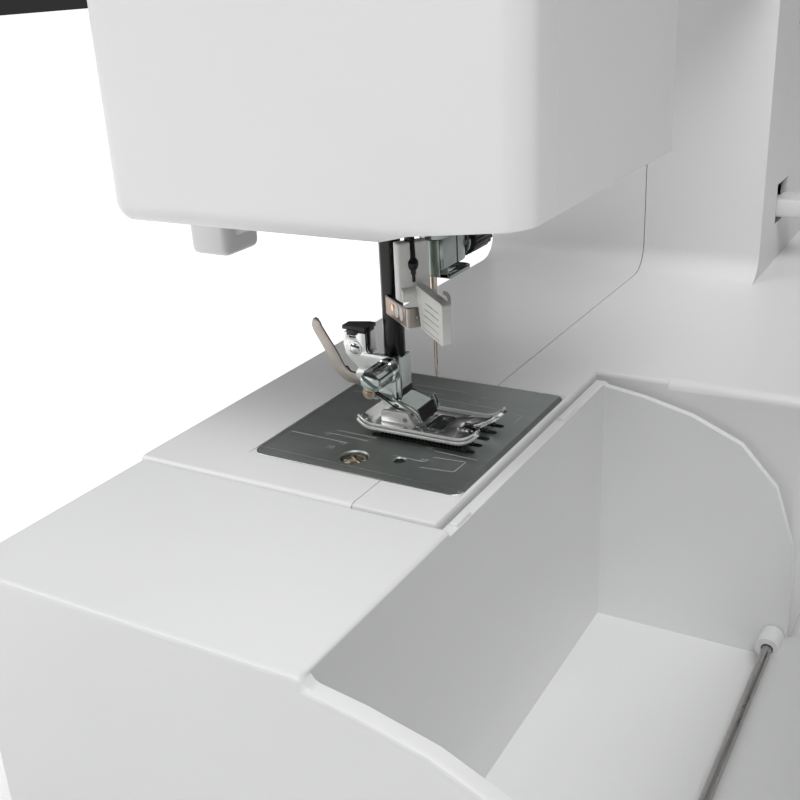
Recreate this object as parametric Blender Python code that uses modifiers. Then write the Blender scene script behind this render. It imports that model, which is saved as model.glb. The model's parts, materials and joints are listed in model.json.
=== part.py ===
"""A domestic zigzag sewing machine with a free arm, built as an assembly of its real pieces.

Sizes below are millimetres in the machine's own frame: x to the operator's right, y away from the
operator, z up, with zero where the needle's axis meets the top of the needle plate. ORIGIN then puts
the middle of the machine's footprint at the world's origin and its rubber feet on z = 0.
"""

import math

import bmesh
import bpy
from mathutils import Matrix, Vector

MM = 0.001
# the needle's point on the plate, seen from the footprint's middle
ORIGIN = Vector((-97.5, 19.35, 92.0))
GAP = 0.3                               # air between pieces that touch
SIDES = 16                              # facets round a small turned piece
PI = math.pi

# Casing
FLOOR = -92.0                           # what the rubber feet stand on
WALL = 2.5
BED_TOP = 0.0
BED_LEFT, BED_RIGHT = 61.0, 285.0       # fixed bed under the arm and the pillar
BED_FRONT, BED_REAR = -88.0, 67.7
SHELL_BOTTOM = -85.0
FREE_ARM_LEFT, FREE_ARM_FRONT, FREE_ARM_BOTTOM = -47.5, -23.4, -62.0
PILLAR_LEFT = 180.0
THROAT_TOP = 118.0
HEAD_LEFT, HEAD_RIGHT, HEAD_BOTTOM = -46.0, 52.0, 63.7
FACE_JOIN = -31.0                       # where the face cover meets the two main shells
ARM_FRONT = -46.0
ARM_TOP = 205.0

# Mechanism
UPPER_Y, UPPER_Z = 0.0, 165.0           # upper shaft, along x
LOWER_Y, LOWER_Z = 36.0, -26.0          # lower shaft, along x
SHAFT_R = 4.0
CRANK_R = 15.25                         # half of the needle bar's stroke
LINK_LENGTH = 45.0
STUD_Z = UPPER_Z + CRANK_R - LINK_LENGTH
NEEDLE_BAR_R = 3.1
CLAMP_SEAT = 57.0                       # lower end of the needle bar, inside its clamp
PRESSER_Y, PRESSER_R = 12.4, 3.0
THUMB_Y, THUMB_Z = 12.0, 19.0            # axis of the ankle's thumb screw, along x
TIMING_X0, TIMING_X1, TIMING_R = 214.0, 222.0, 13.0
DRIVE_X0, DRIVE_X1, DRIVE_R = 271.0, 279.0, 27.0
MOTOR_Y, MOTOR_Z, MOTOR_R = 28.0, 70.0, 22.0
MOTOR_PULLEY_R = 6.0
HOOK_Z = LOWER_Z
TAKE_UP_Y, TAKE_UP_Z = -14.0, 140.0
LIFTER_Y, LIFTER_Z = 14.0, 98.0
LIFTER_TURN = math.radians(60.0)
PRESSER_LIFT = 7.0

# Needle plate and feed
PLATE_X0, PLATE_X1, PLATE_Y0, PLATE_Y1 = -32.9, 37.1, -22.05, 41.4
PLATE_THICK = 1.6
FEED_ROWS = (-8.8, -4.15, 0.5, 5.15, 9.8)
FEED_SLOT_HALF = 1.05
FEED_BAR_HALF = 0.7
FEED_FRONT, FEED_REAR, FEED_STROKE = -14.6, 17.0, 2.0
NEEDLE_GAP = 4.6                        # inner feed rows stop this far before and behind the needle
FEED_TOP = 0.8
TOOTH = 2.2

# Extension table with its compartment and cover
TABLE_LEFT, TABLE_RIGHT = -110.0, 58.5
TABLE_BOTTOM = -90.0
COVER_PIVOT_Y, COVER_PIVOT_Z = -84.0, -77.0
COVER_OPEN = math.radians(60.0)
COVER_LINE = ((-28.2, -2.8), (-40.0, -4.6), (-55.0, -8.3), (-70.0, -15.0), (-81.0, -27.0),
    (-87.0, -45.0), (-88.0, -60.0))

# Needle threader: its hook assembly is turned about the upright threader shaft
THREADER_X, THREADER_Y = -8.3, 2.75
THREADER_TURN = math.radians(-38.3)

COLORS = {
    "white_plastic": ((0.80, 0.80, 0.79), 0.35, 0.0),
    "black_plastic": ((0.02, 0.02, 0.02), 0.4, 0.0),
    "chrome": ((0.82, 0.82, 0.83), 0.12, 1.0),
    "steel": ((0.5, 0.5, 0.48), 0.35, 1.0),
    "plate_steel": ((0.14, 0.15, 0.145), 0.4, 1.0),
    "black_steel": ((0.02, 0.021, 0.02), 0.35, 0.6),
    "aluminium": ((0.6, 0.6, 0.6), 0.5, 0.9),
    "brass": ((0.7, 0.52, 0.25), 0.35, 1.0),
    "rubber": ((0.03, 0.03, 0.03), 0.8, 0.0),
    "grey_plastic": ((0.4, 0.41, 0.43), 0.4, 0.0),
    "clear_plastic": ((0.9, 0.9, 0.85), 0.2, 0.0),
}


# ---------------------------------------------------------------- modelling helpers

def new_object(name, data):
    obj = bpy.data.objects.new(name, data)
    bpy.context.scene.collection.objects.link(obj)
    return obj


def from_bmesh(bm, name="solid"):
    mesh = bpy.data.meshes.new(name)
    bmesh.ops.recalc_face_normals(bm, faces=bm.faces)
    bm.to_mesh(mesh)
    bm.free()
    return new_object(name, mesh)


def baked(obj):
    """The object again as a plain welded mesh in the machine's frame, its modifiers applied."""
    bpy.context.view_layer.update()
    evaluated = obj.evaluated_get(bpy.context.evaluated_depsgraph_get())
    mesh = bpy.data.meshes.new_from_object(evaluated)
    mesh.transform(obj.matrix_world)
    bpy.data.objects.remove(obj)
    bm = bmesh.new()
    bm.from_mesh(mesh)
    bmesh.ops.remove_doubles(bm, verts=bm.verts, dist=1e-4)
    bmesh.ops.dissolve_degenerate(bm, edges=bm.edges, dist=1e-5)
    bpy.data.meshes.remove(mesh)
    return from_bmesh(bm)


def box(low, high, bevel=0.0, segments=2):
    bm = bmesh.new()
    size = Vector(high) - Vector(low)
    middle = (Vector(high) + Vector(low)) / 2
    bmesh.ops.create_cube(bm, size=1.0, matrix=Matrix.Translation(middle) @ Matrix.Diagonal(size.to_4d()))
    obj = from_bmesh(bm)
    if bevel:
        rounding = obj.modifiers.new("edges", "BEVEL")
        rounding.width = bevel
        rounding.segments = segments
        obj = baked(obj)
    return obj


def rod(start, end, radius, sides=SIDES, end_radius=None):
    start, end = Vector(start), Vector(end)
    length = (end - start).length
    turn = (end - start).to_track_quat("Z", "Y").to_matrix().to_4x4()
    bm = bmesh.new()
    bmesh.ops.create_cone(
        bm, cap_ends=True, segments=sides, radius1=radius,
        radius2=radius if end_radius is None else end_radius, depth=length,
        matrix=Matrix.Translation((start + end) / 2) @ turn,
    )
    return from_bmesh(bm)


def turned(profile, base, direction, sides=SIDES, closed=False):
    """A profile of (radius, distance along the axis) turned about an axis from base."""
    mesh = bpy.data.meshes.new("profile")
    count = len(profile)
    links = [(i, (i + 1) % count) for i in range(count if closed else count - 1)]
    mesh.from_pydata([(r, 0.0, a) for r, a in profile], links, [])
    obj = new_object("turned", mesh)
    obj.rotation_mode = "QUATERNION"
    obj.rotation_quaternion = Vector(direction).to_track_quat("Z", "Y")
    obj.location = base
    screw = obj.modifiers.new("turn", "SCREW")
    screw.axis = "Z"
    screw.steps = screw.render_steps = sides
    screw.use_merge_vertices = True
    screw.merge_threshold = 0.0001
    return baked(obj)


def ring(start, end, inner, outer, sides=SIDES):
    length = (Vector(end) - Vector(start)).length
    profile = [(outer, length), (outer, 0.0), (inner, 0.0), (inner, length)]
    return turned(profile, start, Vector(end) - Vector(start), sides, closed=True)


def prism(outlines, plane, low, high):
    """One flat outline, or an outline and its holes, in the plane "xy", "yz" or "xz", from low to high."""
    if not isinstance(outlines[0][0], (tuple, list)):
        outlines = [outlines]
    curve = bpy.data.curves.new("outline", "CURVE")
    curve.dimensions = "2D"
    curve.fill_mode = "BOTH"
    curve.extrude = (high - low) / 2
    for outline in outlines:
        spline = curve.splines.new("POLY")
        spline.points.add(len(outline) - 1)
        spline.use_cyclic_u = True
        for point, (u, v) in zip(spline.points, outline):
            point.co = (u, v, 0.0, 1.0)
    obj = new_object("prism", curve)
    middle = (low + high) / 2
    columns = {
        "xy": ((1, 0, 0), (0, 1, 0), (0, 0, 1), (0, 0, middle)),
        "yz": ((0, 1, 0), (0, 0, 1), (1, 0, 0), (middle, 0, 0)),
        "xz": ((1, 0, 0), (0, 0, 1), (0, -1, 0), (0, middle, 0)),
    }[plane]
    obj.matrix_world = Matrix([[c[i] for c in columns] for i in range(3)] + [[0, 0, 0, 1]])
    return baked(obj)


def wire(points, radius, sides):
    curve = bpy.data.curves.new("wire", "CURVE")
    curve.dimensions = "3D"
    curve.bevel_depth = radius
    curve.bevel_resolution = sides
    curve.use_fill_caps = True
    spline = curve.splines.new("POLY")
    spline.points.add(len(points) - 1)
    for point, place in zip(spline.points, points):
        point.co = (*place, 1.0)
    return baked(new_object("wire", curve))


def boolean(target, others, operation):
    for other in others:
        other.hide_render = True
        other.display_type = "WIRE"
        step = target.modifiers.new(operation.lower(), "BOOLEAN")
        step.operation = operation
        step.solver = "EXACT"
        step.object = other
        target = baked(target)
        bpy.data.objects.remove(other)
    return target


def union(target, *others):
    return boolean(target, others, "UNION")


def cut(target, *others):
    return boolean(target, others, "DIFFERENCE")


def bevelled(obj, width, segments=2, angle=35.0):
    rounding = obj.modifiers.new("edges", "BEVEL")
    rounding.width = width
    rounding.segments = segments
    rounding.limit_method = "ANGLE"
    rounding.angle_limit = math.radians(angle)
    return baked(obj)


def turn_about(obj, angle, axis, point):
    obj.data.transform(
        Matrix.Translation(point) @ Matrix.Rotation(angle, 4, axis) @ Matrix.Translation(-Vector(point))
    )
    return obj


def material(slot):
    found = bpy.data.materials.get(slot)
    if found:
        return found
    color, roughness, metallic = COLORS[slot]
    made = bpy.data.materials.new(slot)
    made.use_nodes = True
    shader = made.node_tree.nodes["Principled BSDF"]
    shader.inputs["Base Color"].default_value = (*color, 1.0)
    shader.inputs["Roughness"].default_value = roughness
    shader.inputs["Metallic"].default_value = metallic
    return made


def node(name, obj, slot, pivot=(0.0, 0.0, 0.0)):
    """Names a finished piece, gives it its material, and puts its origin on its joint's axis."""
    obj.name = obj.data.name = name
    obj.data.transform(Matrix.Translation(-Vector(pivot)))
    obj.data.transform(Matrix.Scale(MM, 4))
    obj.location = (Vector(pivot) + ORIGIN) * MM
    obj.data.shade_smooth()
    obj.data.set_sharp_from_angle(angle=math.radians(32.0))
    own = material(slot).copy()
    own.name = name + "_" + slot
    obj.data.materials.clear()
    obj.data.materials.append(own)
    bpy.context.scene.collection.objects.unlink(obj)
    bpy.data.collections["sewing_machine"].objects.link(obj)
    return obj


def filleted(corners, steps=4):
    """A polygon of (u, v, radius) corners with each corner rounded by an arc of its radius."""
    outline = []
    count = len(corners)
    for i, (u, v, radius) in enumerate(corners):
        here = Vector((u, v))
        before = (Vector(corners[i - 1][:2]) - here)
        after = (Vector(corners[(i + 1) % count][:2]) - here)
        if radius <= 0:
            outline.append((u, v))
            continue
        half = before.angle(after) / 2
        reach = radius / math.tan(half)
        centre = here + (before.normalized() + after.normalized()).normalized() * (radius / math.sin(half))
        first = here + before.normalized() * reach - centre
        last = here + after.normalized() * reach - centre
        sweep = first.angle_signed(last)
        for k in range(steps + 1):
            turned_by = -sweep * k / steps
            c, s = math.cos(turned_by), math.sin(turned_by)
            outline.append((centre.x + first.x * c - first.y * s, centre.y + first.x * s + first.y * c))
    return outline


def inset(corners, distance):
    """The same polygon of square corners, moved inwards, its arcs kept concentric."""
    count = len(corners)
    area = sum(corners[i - 1][0] * corners[i][1] - corners[i][0] * corners[i - 1][1] for i in range(count))
    side = 1.0 if area > 0 else -1.0
    moved = []
    for i, (u, v, radius) in enumerate(corners):
        here = Vector((u, v))
        along = (here - Vector(corners[i - 1][:2])).normalized()
        ahead = (Vector(corners[(i + 1) % count][:2]) - here).normalized()
        convex = (along.x * ahead.y - along.y * ahead.x) * side > 0
        inward = (Vector((-along.y, along.x)) + Vector((-ahead.y, ahead.x))) * side * distance
        rounded = max(radius - distance, 0.6) if convex else radius + distance
        moved.append((here.x + inward.x, here.y + inward.y, rounded))
    return moved


def arc(cu, cv, radius, start, end, steps):
    """Points of an arc, angles in degrees."""
    angles = [math.radians(start + (end - start) * k / steps) for k in range(steps + 1)]
    return [(cu + radius * math.cos(a), cv + radius * math.sin(a)) for a in angles]


def belt_outline(c1, r1, c2, r2):
    """A tight loop round two circles, as an outline."""
    c1, c2 = Vector(c1), Vector(c2)
    along = c2 - c1
    heading = math.degrees(math.atan2(along.y, along.x))
    open_angle = math.degrees(math.acos((r1 - r2) / along.length))
    first = arc(c1.x, c1.y, r1, heading + open_angle, heading + 360 - open_angle, int(8 + r1 / 2))
    second = arc(c2.x, c2.y, r2, heading - open_angle, heading + open_angle, int(6 + r2 / 2))
    return first + second


def toothed(radius, depth, teeth, cu=0.0, cv=0.0):
    """A gear or pulley outline with square-topped teeth that reach out to radius."""
    outline = []
    for k in range(teeth):
        for share, r in ((0.0, radius - depth), (0.2, radius), (0.5, radius), (0.7, radius - depth)):
            a = 2 * PI * (k + share) / teeth
            outline.append((cu + r * math.cos(a), cv + r * math.sin(a)))
    return outline


# ---------------------------------------------------------------- casing

def c_corners(bed_end_left, bed_floor):
    """Corners of the casing seen from the front: bed, pillar, arm and head."""
    bed = [(bed_end_left, bed_floor, 1.5), (bed_end_left, BED_TOP, 1.5)]
    head = [
        (PILLAR_LEFT, BED_TOP, 10.0), (PILLAR_LEFT, THROAT_TOP, 12.0), (HEAD_RIGHT, THROAT_TOP, 8.0),
        (HEAD_RIGHT, HEAD_BOTTOM, 5.0), (FACE_JOIN + GAP, HEAD_BOTTOM, 0.0),
        (FACE_JOIN + GAP, ARM_TOP, 0.0), (BED_RIGHT, ARM_TOP, 14.0), (BED_RIGHT, SHELL_BOTTOM, 3.0),
    ]
    foot = [] if bed_floor <= SHELL_BOTTOM else [(BED_LEFT, SHELL_BOTTOM, 1.0),
        (BED_LEFT, bed_floor, 0.0)]
    return bed + head + foot


def plate_opening():
    return box((PLATE_X0 - GAP, PLATE_Y0 - GAP, -6.0), (PLATE_X1 + GAP, PLATE_Y1 + GAP, 6.0))


def head_opening():
    return box((FACE_JOIN - 2, -36.0, HEAD_BOTTOM - 6), (HEAD_RIGHT - 8, 45.0, HEAD_BOTTOM + 8))


def shaft_opening():
    return rod((BED_RIGHT - 10, UPPER_Y, UPPER_Z), (BED_RIGHT + 10, UPPER_Y, UPPER_Z), 12.0)


def chin_cut():
    """The slant under the front of the head, so the needle can be seen from above."""
    slant = [(-60.0, 50.0), (-60.0, 72.0), (-46.0, 70.5), (-18.0, 67.2), (-5.0, 63.6), (-5.0, 50.0)]
    return prism(slant, "yz", HEAD_LEFT - 5, HEAD_RIGHT + 5)


def front_shell():
    outline = filleted(c_corners(BED_LEFT, SHELL_BOTTOM))
    inner = filleted(inset(c_corners(BED_LEFT, SHELL_BOTTOM), WALL))
    shell = bevelled(prism(outline, "xz", ARM_FRONT, 30.0), 3.0, 3)
    bed = box((BED_LEFT, BED_FRONT, SHELL_BOTTOM), (BED_RIGHT, 25.0, BED_TOP), 3.0, 3)
    free_arm = box((FREE_ARM_LEFT, FREE_ARM_FRONT, FREE_ARM_BOTTOM), (BED_LEFT + 12, 26.0, BED_TOP), 1.2)
    shell = union(shell, bed, free_arm)
    shell = cut(
        shell,
        box((-200, -GAP / 2, -200), (400, 60, 300)),
        prism(inner, "xz", ARM_FRONT + WALL, 5.0),
        box((BED_LEFT + WALL, BED_FRONT + WALL, SHELL_BOTTOM - 5),
            (BED_RIGHT - WALL, 5.1, BED_TOP - WALL)),
        box((FREE_ARM_LEFT + WALL, FREE_ARM_FRONT + WALL, FREE_ARM_BOTTOM + WALL),
            (BED_LEFT + 6, 5.2, -WALL)),
        plate_opening(),
        head_opening(),
        chin_cut(),
        shaft_opening(),
        box((17.0, ARM_FRONT - 5, 124.0), (22.0, ARM_FRONT + 8, 192.0)),
        box((-30.0 - GAP, FREE_ARM_FRONT - 4, -56.0 - GAP), (30.0 + GAP, FREE_ARM_FRONT + 4, -8.0 + GAP)),
        rod((30.0, ARM_FRONT - 5, 188.0), (30.0, ARM_FRONT + 12, 188.0), 11.0),
        box((205.0, ARM_FRONT - 5, 16.0), (225.0, ARM_FRONT + 6, 32.0)),
    )
    return node("front_shell", shell, "white_plastic")


def rear_shell():
    corners = c_corners(FREE_ARM_LEFT, FREE_ARM_BOTTOM)
    shell = bevelled(prism(filleted(corners), "xz", -30.0, BED_REAR), 3.0, 2)
    shell = cut(
        shell,
        box((-200, -60, -200), (400, GAP / 2, 300)),
        prism(filleted(inset(corners, WALL)), "xz", -5.0, BED_REAR - WALL),
        box((BED_LEFT + WALL, -5.0, SHELL_BOTTOM - 5), (BED_RIGHT - WALL, BED_REAR - WALL - 0.1, -50.0)),
        plate_opening(),
        head_opening(),
        shaft_opening(),
        box((9.0, BED_REAR - 8, HEAD_BOTTOM - 6), (28.0, BED_REAR + 5, 142.0)),
        box((9.0, 43.0, HEAD_BOTTOM - 6), (28.0, BED_REAR - 7, HEAD_BOTTOM + 6)),
        box((-32.0, BED_REAR - 8, -31.0), (-6.0, BED_REAR + 5, -21.0)),
        box((BED_RIGHT - 10, 12.0, -62.0), (BED_RIGHT + 5, 40.0, -38.0)),
        box((BED_RIGHT - 10, 12.0, -30.0), (BED_RIGHT + 5, 28.0, -6.0)),
        rod((256.0, 22.0, ARM_TOP - 8), (256.0, 22.0, ARM_TOP + 5), 5.0),
    )
    return node("rear_shell", union(shell, *handle_lugs()), "white_plastic")


def face_cover():
    cover = box((HEAD_LEFT, ARM_FRONT, HEAD_BOTTOM), (0.0, BED_REAR, ARM_TOP), 6.0, 3)
    cover = cut(
        cover,
        box((FACE_JOIN, -100, 0), (20, 100, 300)),
        box((HEAD_LEFT + WALL, ARM_FRONT + WALL, 40.0), (10, BED_REAR - WALL, ARM_TOP - WALL)),
        chin_cut(),
    )
    return node("face_cover", cover, "white_plastic")


def base_plate():
    arm_foot = box((-42.0, -14.0, -88.0), (BED_LEFT + 8, 62.0, -80.0), 1.5)
    pan = box((BED_LEFT + 1, BED_FRONT + 3, -88.0), (BED_RIGHT - 2, BED_REAR - 3, SHELL_BOTTOM - GAP))
    arm_foot = cut(arm_foot, box((BED_LEFT - GAP, -30, SHELL_BOTTOM - GAP - 0.1),
        (BED_LEFT + 20, 80, -70)))
    return node("base_plate", union(pan, arm_foot), "grey_plastic")


def rubber_feet():
    places = {"left": (-30, 50), "front": (76, -74), "right_front": (270, -74), "right_rear": (270, 52)}
    for corner, (x, y) in places.items():
        foot = rod((x, y, FLOOR), (x, y, -88.0 - GAP), 7.0, 16, 8.0)
        node("rubber_foot_" + corner, foot, "rubber")


def shuttle_cover():
    """The door in the free arm's front, over the hook, with a finger recess."""
    door = box((-30.0, FREE_ARM_FRONT, -56.0), (30.0, FREE_ARM_FRONT + 2.0, -8.0), 0.6)
    door = cut(door, rod((0, FREE_ARM_FRONT - 1, -14), (0, FREE_ARM_FRONT + 1.1, -14), 5.0))
    return node("shuttle_cover", door, "white_plastic")


def shell_screw():
    """A screw through the rear shell into the pillar's web."""
    x, z = 200.0, 60.0
    head = rod((x, BED_REAR + GAP, z), (x, BED_REAR + 2.0, z), 3.6, 16, 3.0)
    screw = cut(head, box((x - 3, BED_REAR + 1.2, z - 0.5), (x + 3, BED_REAR + 3, z + 0.5)))
    return node("shell_screw", screw, "steel")


def inlet_socket():
    socket = box((BED_RIGHT - 16, 12.0 + GAP, -62.0 + GAP), (BED_RIGHT, 40.0 - GAP, -38.0 - GAP), 0.8)
    socket = cut(socket, box((BED_RIGHT - 12, 16.0, -58.0), (BED_RIGHT + 5, 36.0, -42.0)))
    pins = [rod((BED_RIGHT - 13, y, -50.0), (BED_RIGHT - 4, y, -50.0), 1.2, 10) for y in (21.0, 31.0)]
    return node("inlet_socket", union(socket, *pins), "black_plastic")


def power_switch():
    rocker_y, rocker_z = 20.0, -18.0
    outline = [(BED_RIGHT - 6, -11.0), (BED_RIGHT + 2.2, -10.8), (BED_RIGHT + 0.6, 0.0),
        (BED_RIGHT + 0.6, 10.8), (BED_RIGHT - 6, 11.0)]
    rocker = prism([(x, z + rocker_z) for x, z in outline], "xz", 12.5, 27.5)
    return node("power_switch", rocker, "black_plastic", (BED_RIGHT - 4, rocker_y, rocker_z))


def handle_lugs():
    """Two lugs on the arm's top with the pins that the handle turns on."""
    y0, z0 = 45.0, ARM_TOP + 5.0
    lugs = []
    for x, side in ((80, -1), (190, 1)):
        inner, outer = x + side * 5.4, x + side * 9.0
        lug = box((min(inner, outer), y0 - 5, ARM_TOP - 1), (max(inner, outer), y0 + 5, z0 + 5), 1.0)
        lugs.append(union(lug, rod((x - side * 4, y0, z0), (x + side * 7, y0, z0), 2.0, 16)))
    return lugs


def carry_handle():
    """Lies folded on the arm's top and turns up about its two pivots."""
    y0, z0 = 45.0, ARM_TOP + 5.0
    bail = [(80, y0, z0), (80, y0 - 34, z0), (84, y0 - 38, z0), (186, y0 - 38, z0),
        (190, y0 - 34, z0), (190, y0, z0)]
    grip = wire(bail, 4.0, 1)
    hubs = [rod((x - 5, y0, z0), (x + 5, y0, z0), 4.7, 16) for x in (80, 190)]
    handle = union(grip, *hubs)
    handle = cut(handle, *[rod((x - 9, y0, z0), (x + 9, y0, z0), 2.3, 16) for x in (80, 190)])
    return node("carry_handle", handle, "white_plastic", (135, y0, z0))


# ---------------------------------------------------------------- frame

def cast_frame():
    """The cast skeleton: bed tray, pillar web, arm wall, head webs and the bearing brackets."""
    frame = box((-42.0, -17.0, -58.8), (262.0, 62.0, -54.0))
    solids = [
        box((-42.0, 56.0, -58.0), (262.0, 61.0, -4.0)),
        box((-42.0, -19.0, -5.6), (58.0, 61.5, -2.9)),
        box((-42.0, -16.0, -57.0), (-38.0, 60.0, -3.5)),
        box((190.0, -30.0, -57.0), (196.0, 60.0, 189.0)),
        box((26.0, 54.0, 148.0), (266.0, 59.0, 190.0)),
        box((189.0, 54.5, -56.0), (266.0, 59.5, 160.0)),
        box((28.0, -30.0, 74.0), (34.0, 58.0, 191.0)),
        box((236.0, -30.0, 128.0), (242.0, 58.0, 189.5)),
        box((-18.0, -12.0, 191.0 - 1), (34.0, 58.0, 195.0)),
        box((-18.0, 42.0, 74.0), (7.0, 47.0, 193.0)),
        box((-14.0, -9.0, 78.0), (6.6, 46.0, 84.0)),
        box((-14.0, -9.0, 146.0), (6.4, 46.0, 152.0)),
        box((15.5, 26.0, -56.0), (22.5, 50.0, -15.0)),
        box((-12.0, 14.5, -56.0), (12.0, 21.5, -16.6)),
    ]
    holes = [
        box((-15.0, -17.0, -8.0), (17.0, 32.0, 0.0)),
        rod((20, UPPER_Y, UPPER_Z), (250, UPPER_Y, UPPER_Z), SHAFT_R + GAP, 12),
        rod((10, LOWER_Y, LOWER_Z), (230, LOWER_Y, LOWER_Z), SHAFT_R + GAP, 12),
        rod((0, 0, 70), (0, 0, 90), NEEDLE_BAR_R + 2.3 + GAP, 12),
        rod((0, 0, 140), (0, 0, 189.2), NEEDLE_BAR_R + GAP, 12),
        rod((0, 0, 189), (0, 0, 197), NEEDLE_BAR_R + 1, 12),
        rod((0, PRESSER_Y, 70), (0, PRESSER_Y, 188), PRESSER_R + GAP, 12),
        rod((THREADER_X, THREADER_Y, 70), (THREADER_X, THREADER_Y, 90), 1.4 + GAP, 16),
        rod((0, 10, HOOK_Z), (0, 24, HOOK_Z), SHAFT_R + GAP, 12),
        rod((-24, 13.6, -7), (-24, 13.6, 0), 1.9, 16),
    ]
    pins = [
        rod((17.6, TAKE_UP_Y, TAKE_UP_Z), (30.8, TAKE_UP_Y, TAKE_UP_Z), 2.5, 16),
        rod((12.0, LIFTER_Y, LIFTER_Z), (30.8, LIFTER_Y, LIFTER_Z), 2.5, 16),
    ]
    return node("cast_frame", union(cut(union(frame, *solids), *holes), *pins), "aluminium")


# ---------------------------------------------------------------- drive

def handwheel():
    """The wheel outside the casing and the drive belt's pulley inside it are one moulding."""
    pulley_in, pulley_out = DRIVE_X0 - BED_RIGHT - 1.0, DRIVE_X1 - BED_RIGHT - 1.0
    profile = [
        (0, 19.0), (10, 19.0), (22, 13.0), (28, 18.0), (32.5, 16.0), (32.5, 4.0),
        (30.0, 1.2), (24.0, 3.0), (24.0, 7.0), (11.5, 7.0), (11.5, pulley_out), (DRIVE_R, pulley_out),
        (DRIVE_R, pulley_in), (SHAFT_R + GAP, pulley_in), (SHAFT_R + GAP, 6.0), (0, 6.0),
    ]
    wheel = turned(profile, (BED_RIGHT + 1.0, UPPER_Y, UPPER_Z), (1, 0, 0), 24)
    return node("handwheel", wheel, "white_plastic", (BED_RIGHT + 1.0, UPPER_Y, UPPER_Z))


def upper_shaft():
    shaft = rod((16.3, UPPER_Y, UPPER_Z), (290.0, UPPER_Y, UPPER_Z), SHAFT_R, 16)
    return node("upper_shaft", shaft, "steel", (150, UPPER_Y, UPPER_Z))


def needle_crank():
    profile = [
        (0, 0), (20, 0), (20, 4.7), (8.5, 4.7), (8.5, 12.7), (SHAFT_R + GAP, 12.7), (SHAFT_R + GAP,
            4.7), (0, 4.7),
    ]
    crank = turned(profile, (11.3, UPPER_Y, UPPER_Z), (1, 0, 0), 20)
    pin = rod((10.4, UPPER_Y, UPPER_Z + CRANK_R), (13.0, UPPER_Y, UPPER_Z + CRANK_R), 3.0, 16)
    lighten = [
        rod((9, UPPER_Y + 13 * math.cos(a), UPPER_Z + 13 * math.sin(a)),
            (20, UPPER_Y + 13 * math.cos(a), UPPER_Z + 13 * math.sin(a)), 3.6, 12)
        for a in (0.0, PI)
    ]
    return node("needle_crank", cut(union(crank, pin), *lighten), "steel", (11.3, UPPER_Y, UPPER_Z))


def pulley(name, x0, x1, y, z, radius, teeth, shaft_r, slot="black_plastic"):
    wheel = prism([toothed(radius, 0.9, teeth, y, z), arc(y, z, shaft_r + GAP, 0, 330, 11)], "yz", x0, x1)
    return node(name, wheel, slot, ((x0 + x1) / 2, y, z))


def belt(name, x0, x1, c1, r1, c2, r2):
    loops = [belt_outline(c1, r1 + 1.6, c2, r2 + 1.6), belt_outline(c1, r1 + GAP, c2, r2 + GAP)]
    return node(name, prism(loops, "yz", x0, x1), "rubber")


def needle_bar_bush():
    bush = ring((0, 0, 76), (0, 0, 86), NEEDLE_BAR_R + GAP, NEEDLE_BAR_R + 2.3, 20)
    return node("needle_bar_bush", bush, "brass")


def drive_motor():
    body = turned(
        [(0, 38), (6, 38), (6, 36), (MOTOR_R - 3, 36), (MOTOR_R, 33), (MOTOR_R, 3),
            (MOTOR_R - 3, 0), (0, 0)],
        (226.0, MOTOR_Y, MOTOR_Z), (1, 0, 0), 16,
    )
    bore = rod((250.0, MOTOR_Y, MOTOR_Z), (268.0, MOTOR_Y, MOTOR_Z), 2.5 + GAP, 16)
    return node("drive_motor", cut(body, bore), "steel")


def motor_pulley():
    """A small toothed pulley with the motor's shaft."""
    shaft = rod((252.0, MOTOR_Y, MOTOR_Z), (280.0, MOTOR_Y, MOTOR_Z), 2.5, 16)
    wheel = prism(toothed(MOTOR_PULLEY_R, 0.9, 8, MOTOR_Y, MOTOR_Z), "yz", DRIVE_X0, DRIVE_X1)
    return node("motor_pulley", union(wheel, shaft), "steel", (275, MOTOR_Y, MOTOR_Z))


def cone_gear(base, direction, radius, tip_radius, length, teeth):
    """A bevel gear: a toothed cone, with room between its teeth and its mate's."""
    outline = toothed(1.0, 0.14, teeth)
    bm = bmesh.new()
    turn = Matrix.Translation(base) @ Vector(direction).to_track_quat("Z", "Y").to_matrix().to_4x4()
    rings = []
    for r, a in ((radius, 0.0), (tip_radius, length)):
        rings.append([bm.verts.new(turn @ Vector((u * r, v * r, a))) for u, v in outline])
    bm.faces.new(rings[0])
    bm.faces.new(rings[1])
    count = len(outline)
    for i in range(count):
        bm.faces.new((rings[0][i], rings[0][(i + 1) % count], rings[1][(i + 1) % count], rings[1][i]))
    return from_bmesh(bm)


def lower_shaft():
    """The shaft under the bed, with its bevel gear."""
    shaft = rod((6.0, LOWER_Y, LOWER_Z), (224.0, LOWER_Y, LOWER_Z), SHAFT_R, 16)
    gear = cone_gear((6.5, LOWER_Y, LOWER_Z), (-1, 0, 0), 11.3, 7.0, 2.6, 16)
    return node("lower_shaft", union(gear, shaft), "steel", (100, LOWER_Y, LOWER_Z))


def rotary_hook():
    """A basket that turns round the bobbin case, on a shaft with a bevel pinion at its rear end."""
    profile = [(0, 12.3), (7, 12.3), (7, 10.5), (15.5, 8.0), (15.5, 0.0), (11.3, 0.0), (11.3, 8.4),
        (0, 8.4)]
    hook = turned(profile, (0, 1.2, HOOK_Z), (0, 1, 0), 20)
    mouth = box((6.0, 0.0, HOOK_Z + 2.0), (18.0, 6.0, HOOK_Z + 12.0))
    shaft = rod((0, 12.0, HOOK_Z), (0, 26.0, HOOK_Z), SHAFT_R, 16)
    gear = cone_gear((0, 24.9, HOOK_Z), (0, 1, 0), 5.3, 3.6, 4.0, 8)
    return node("rotary_hook", union(cut(hook, mouth), shaft, gear), "chrome", (0, 1.2, HOOK_Z))


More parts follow.
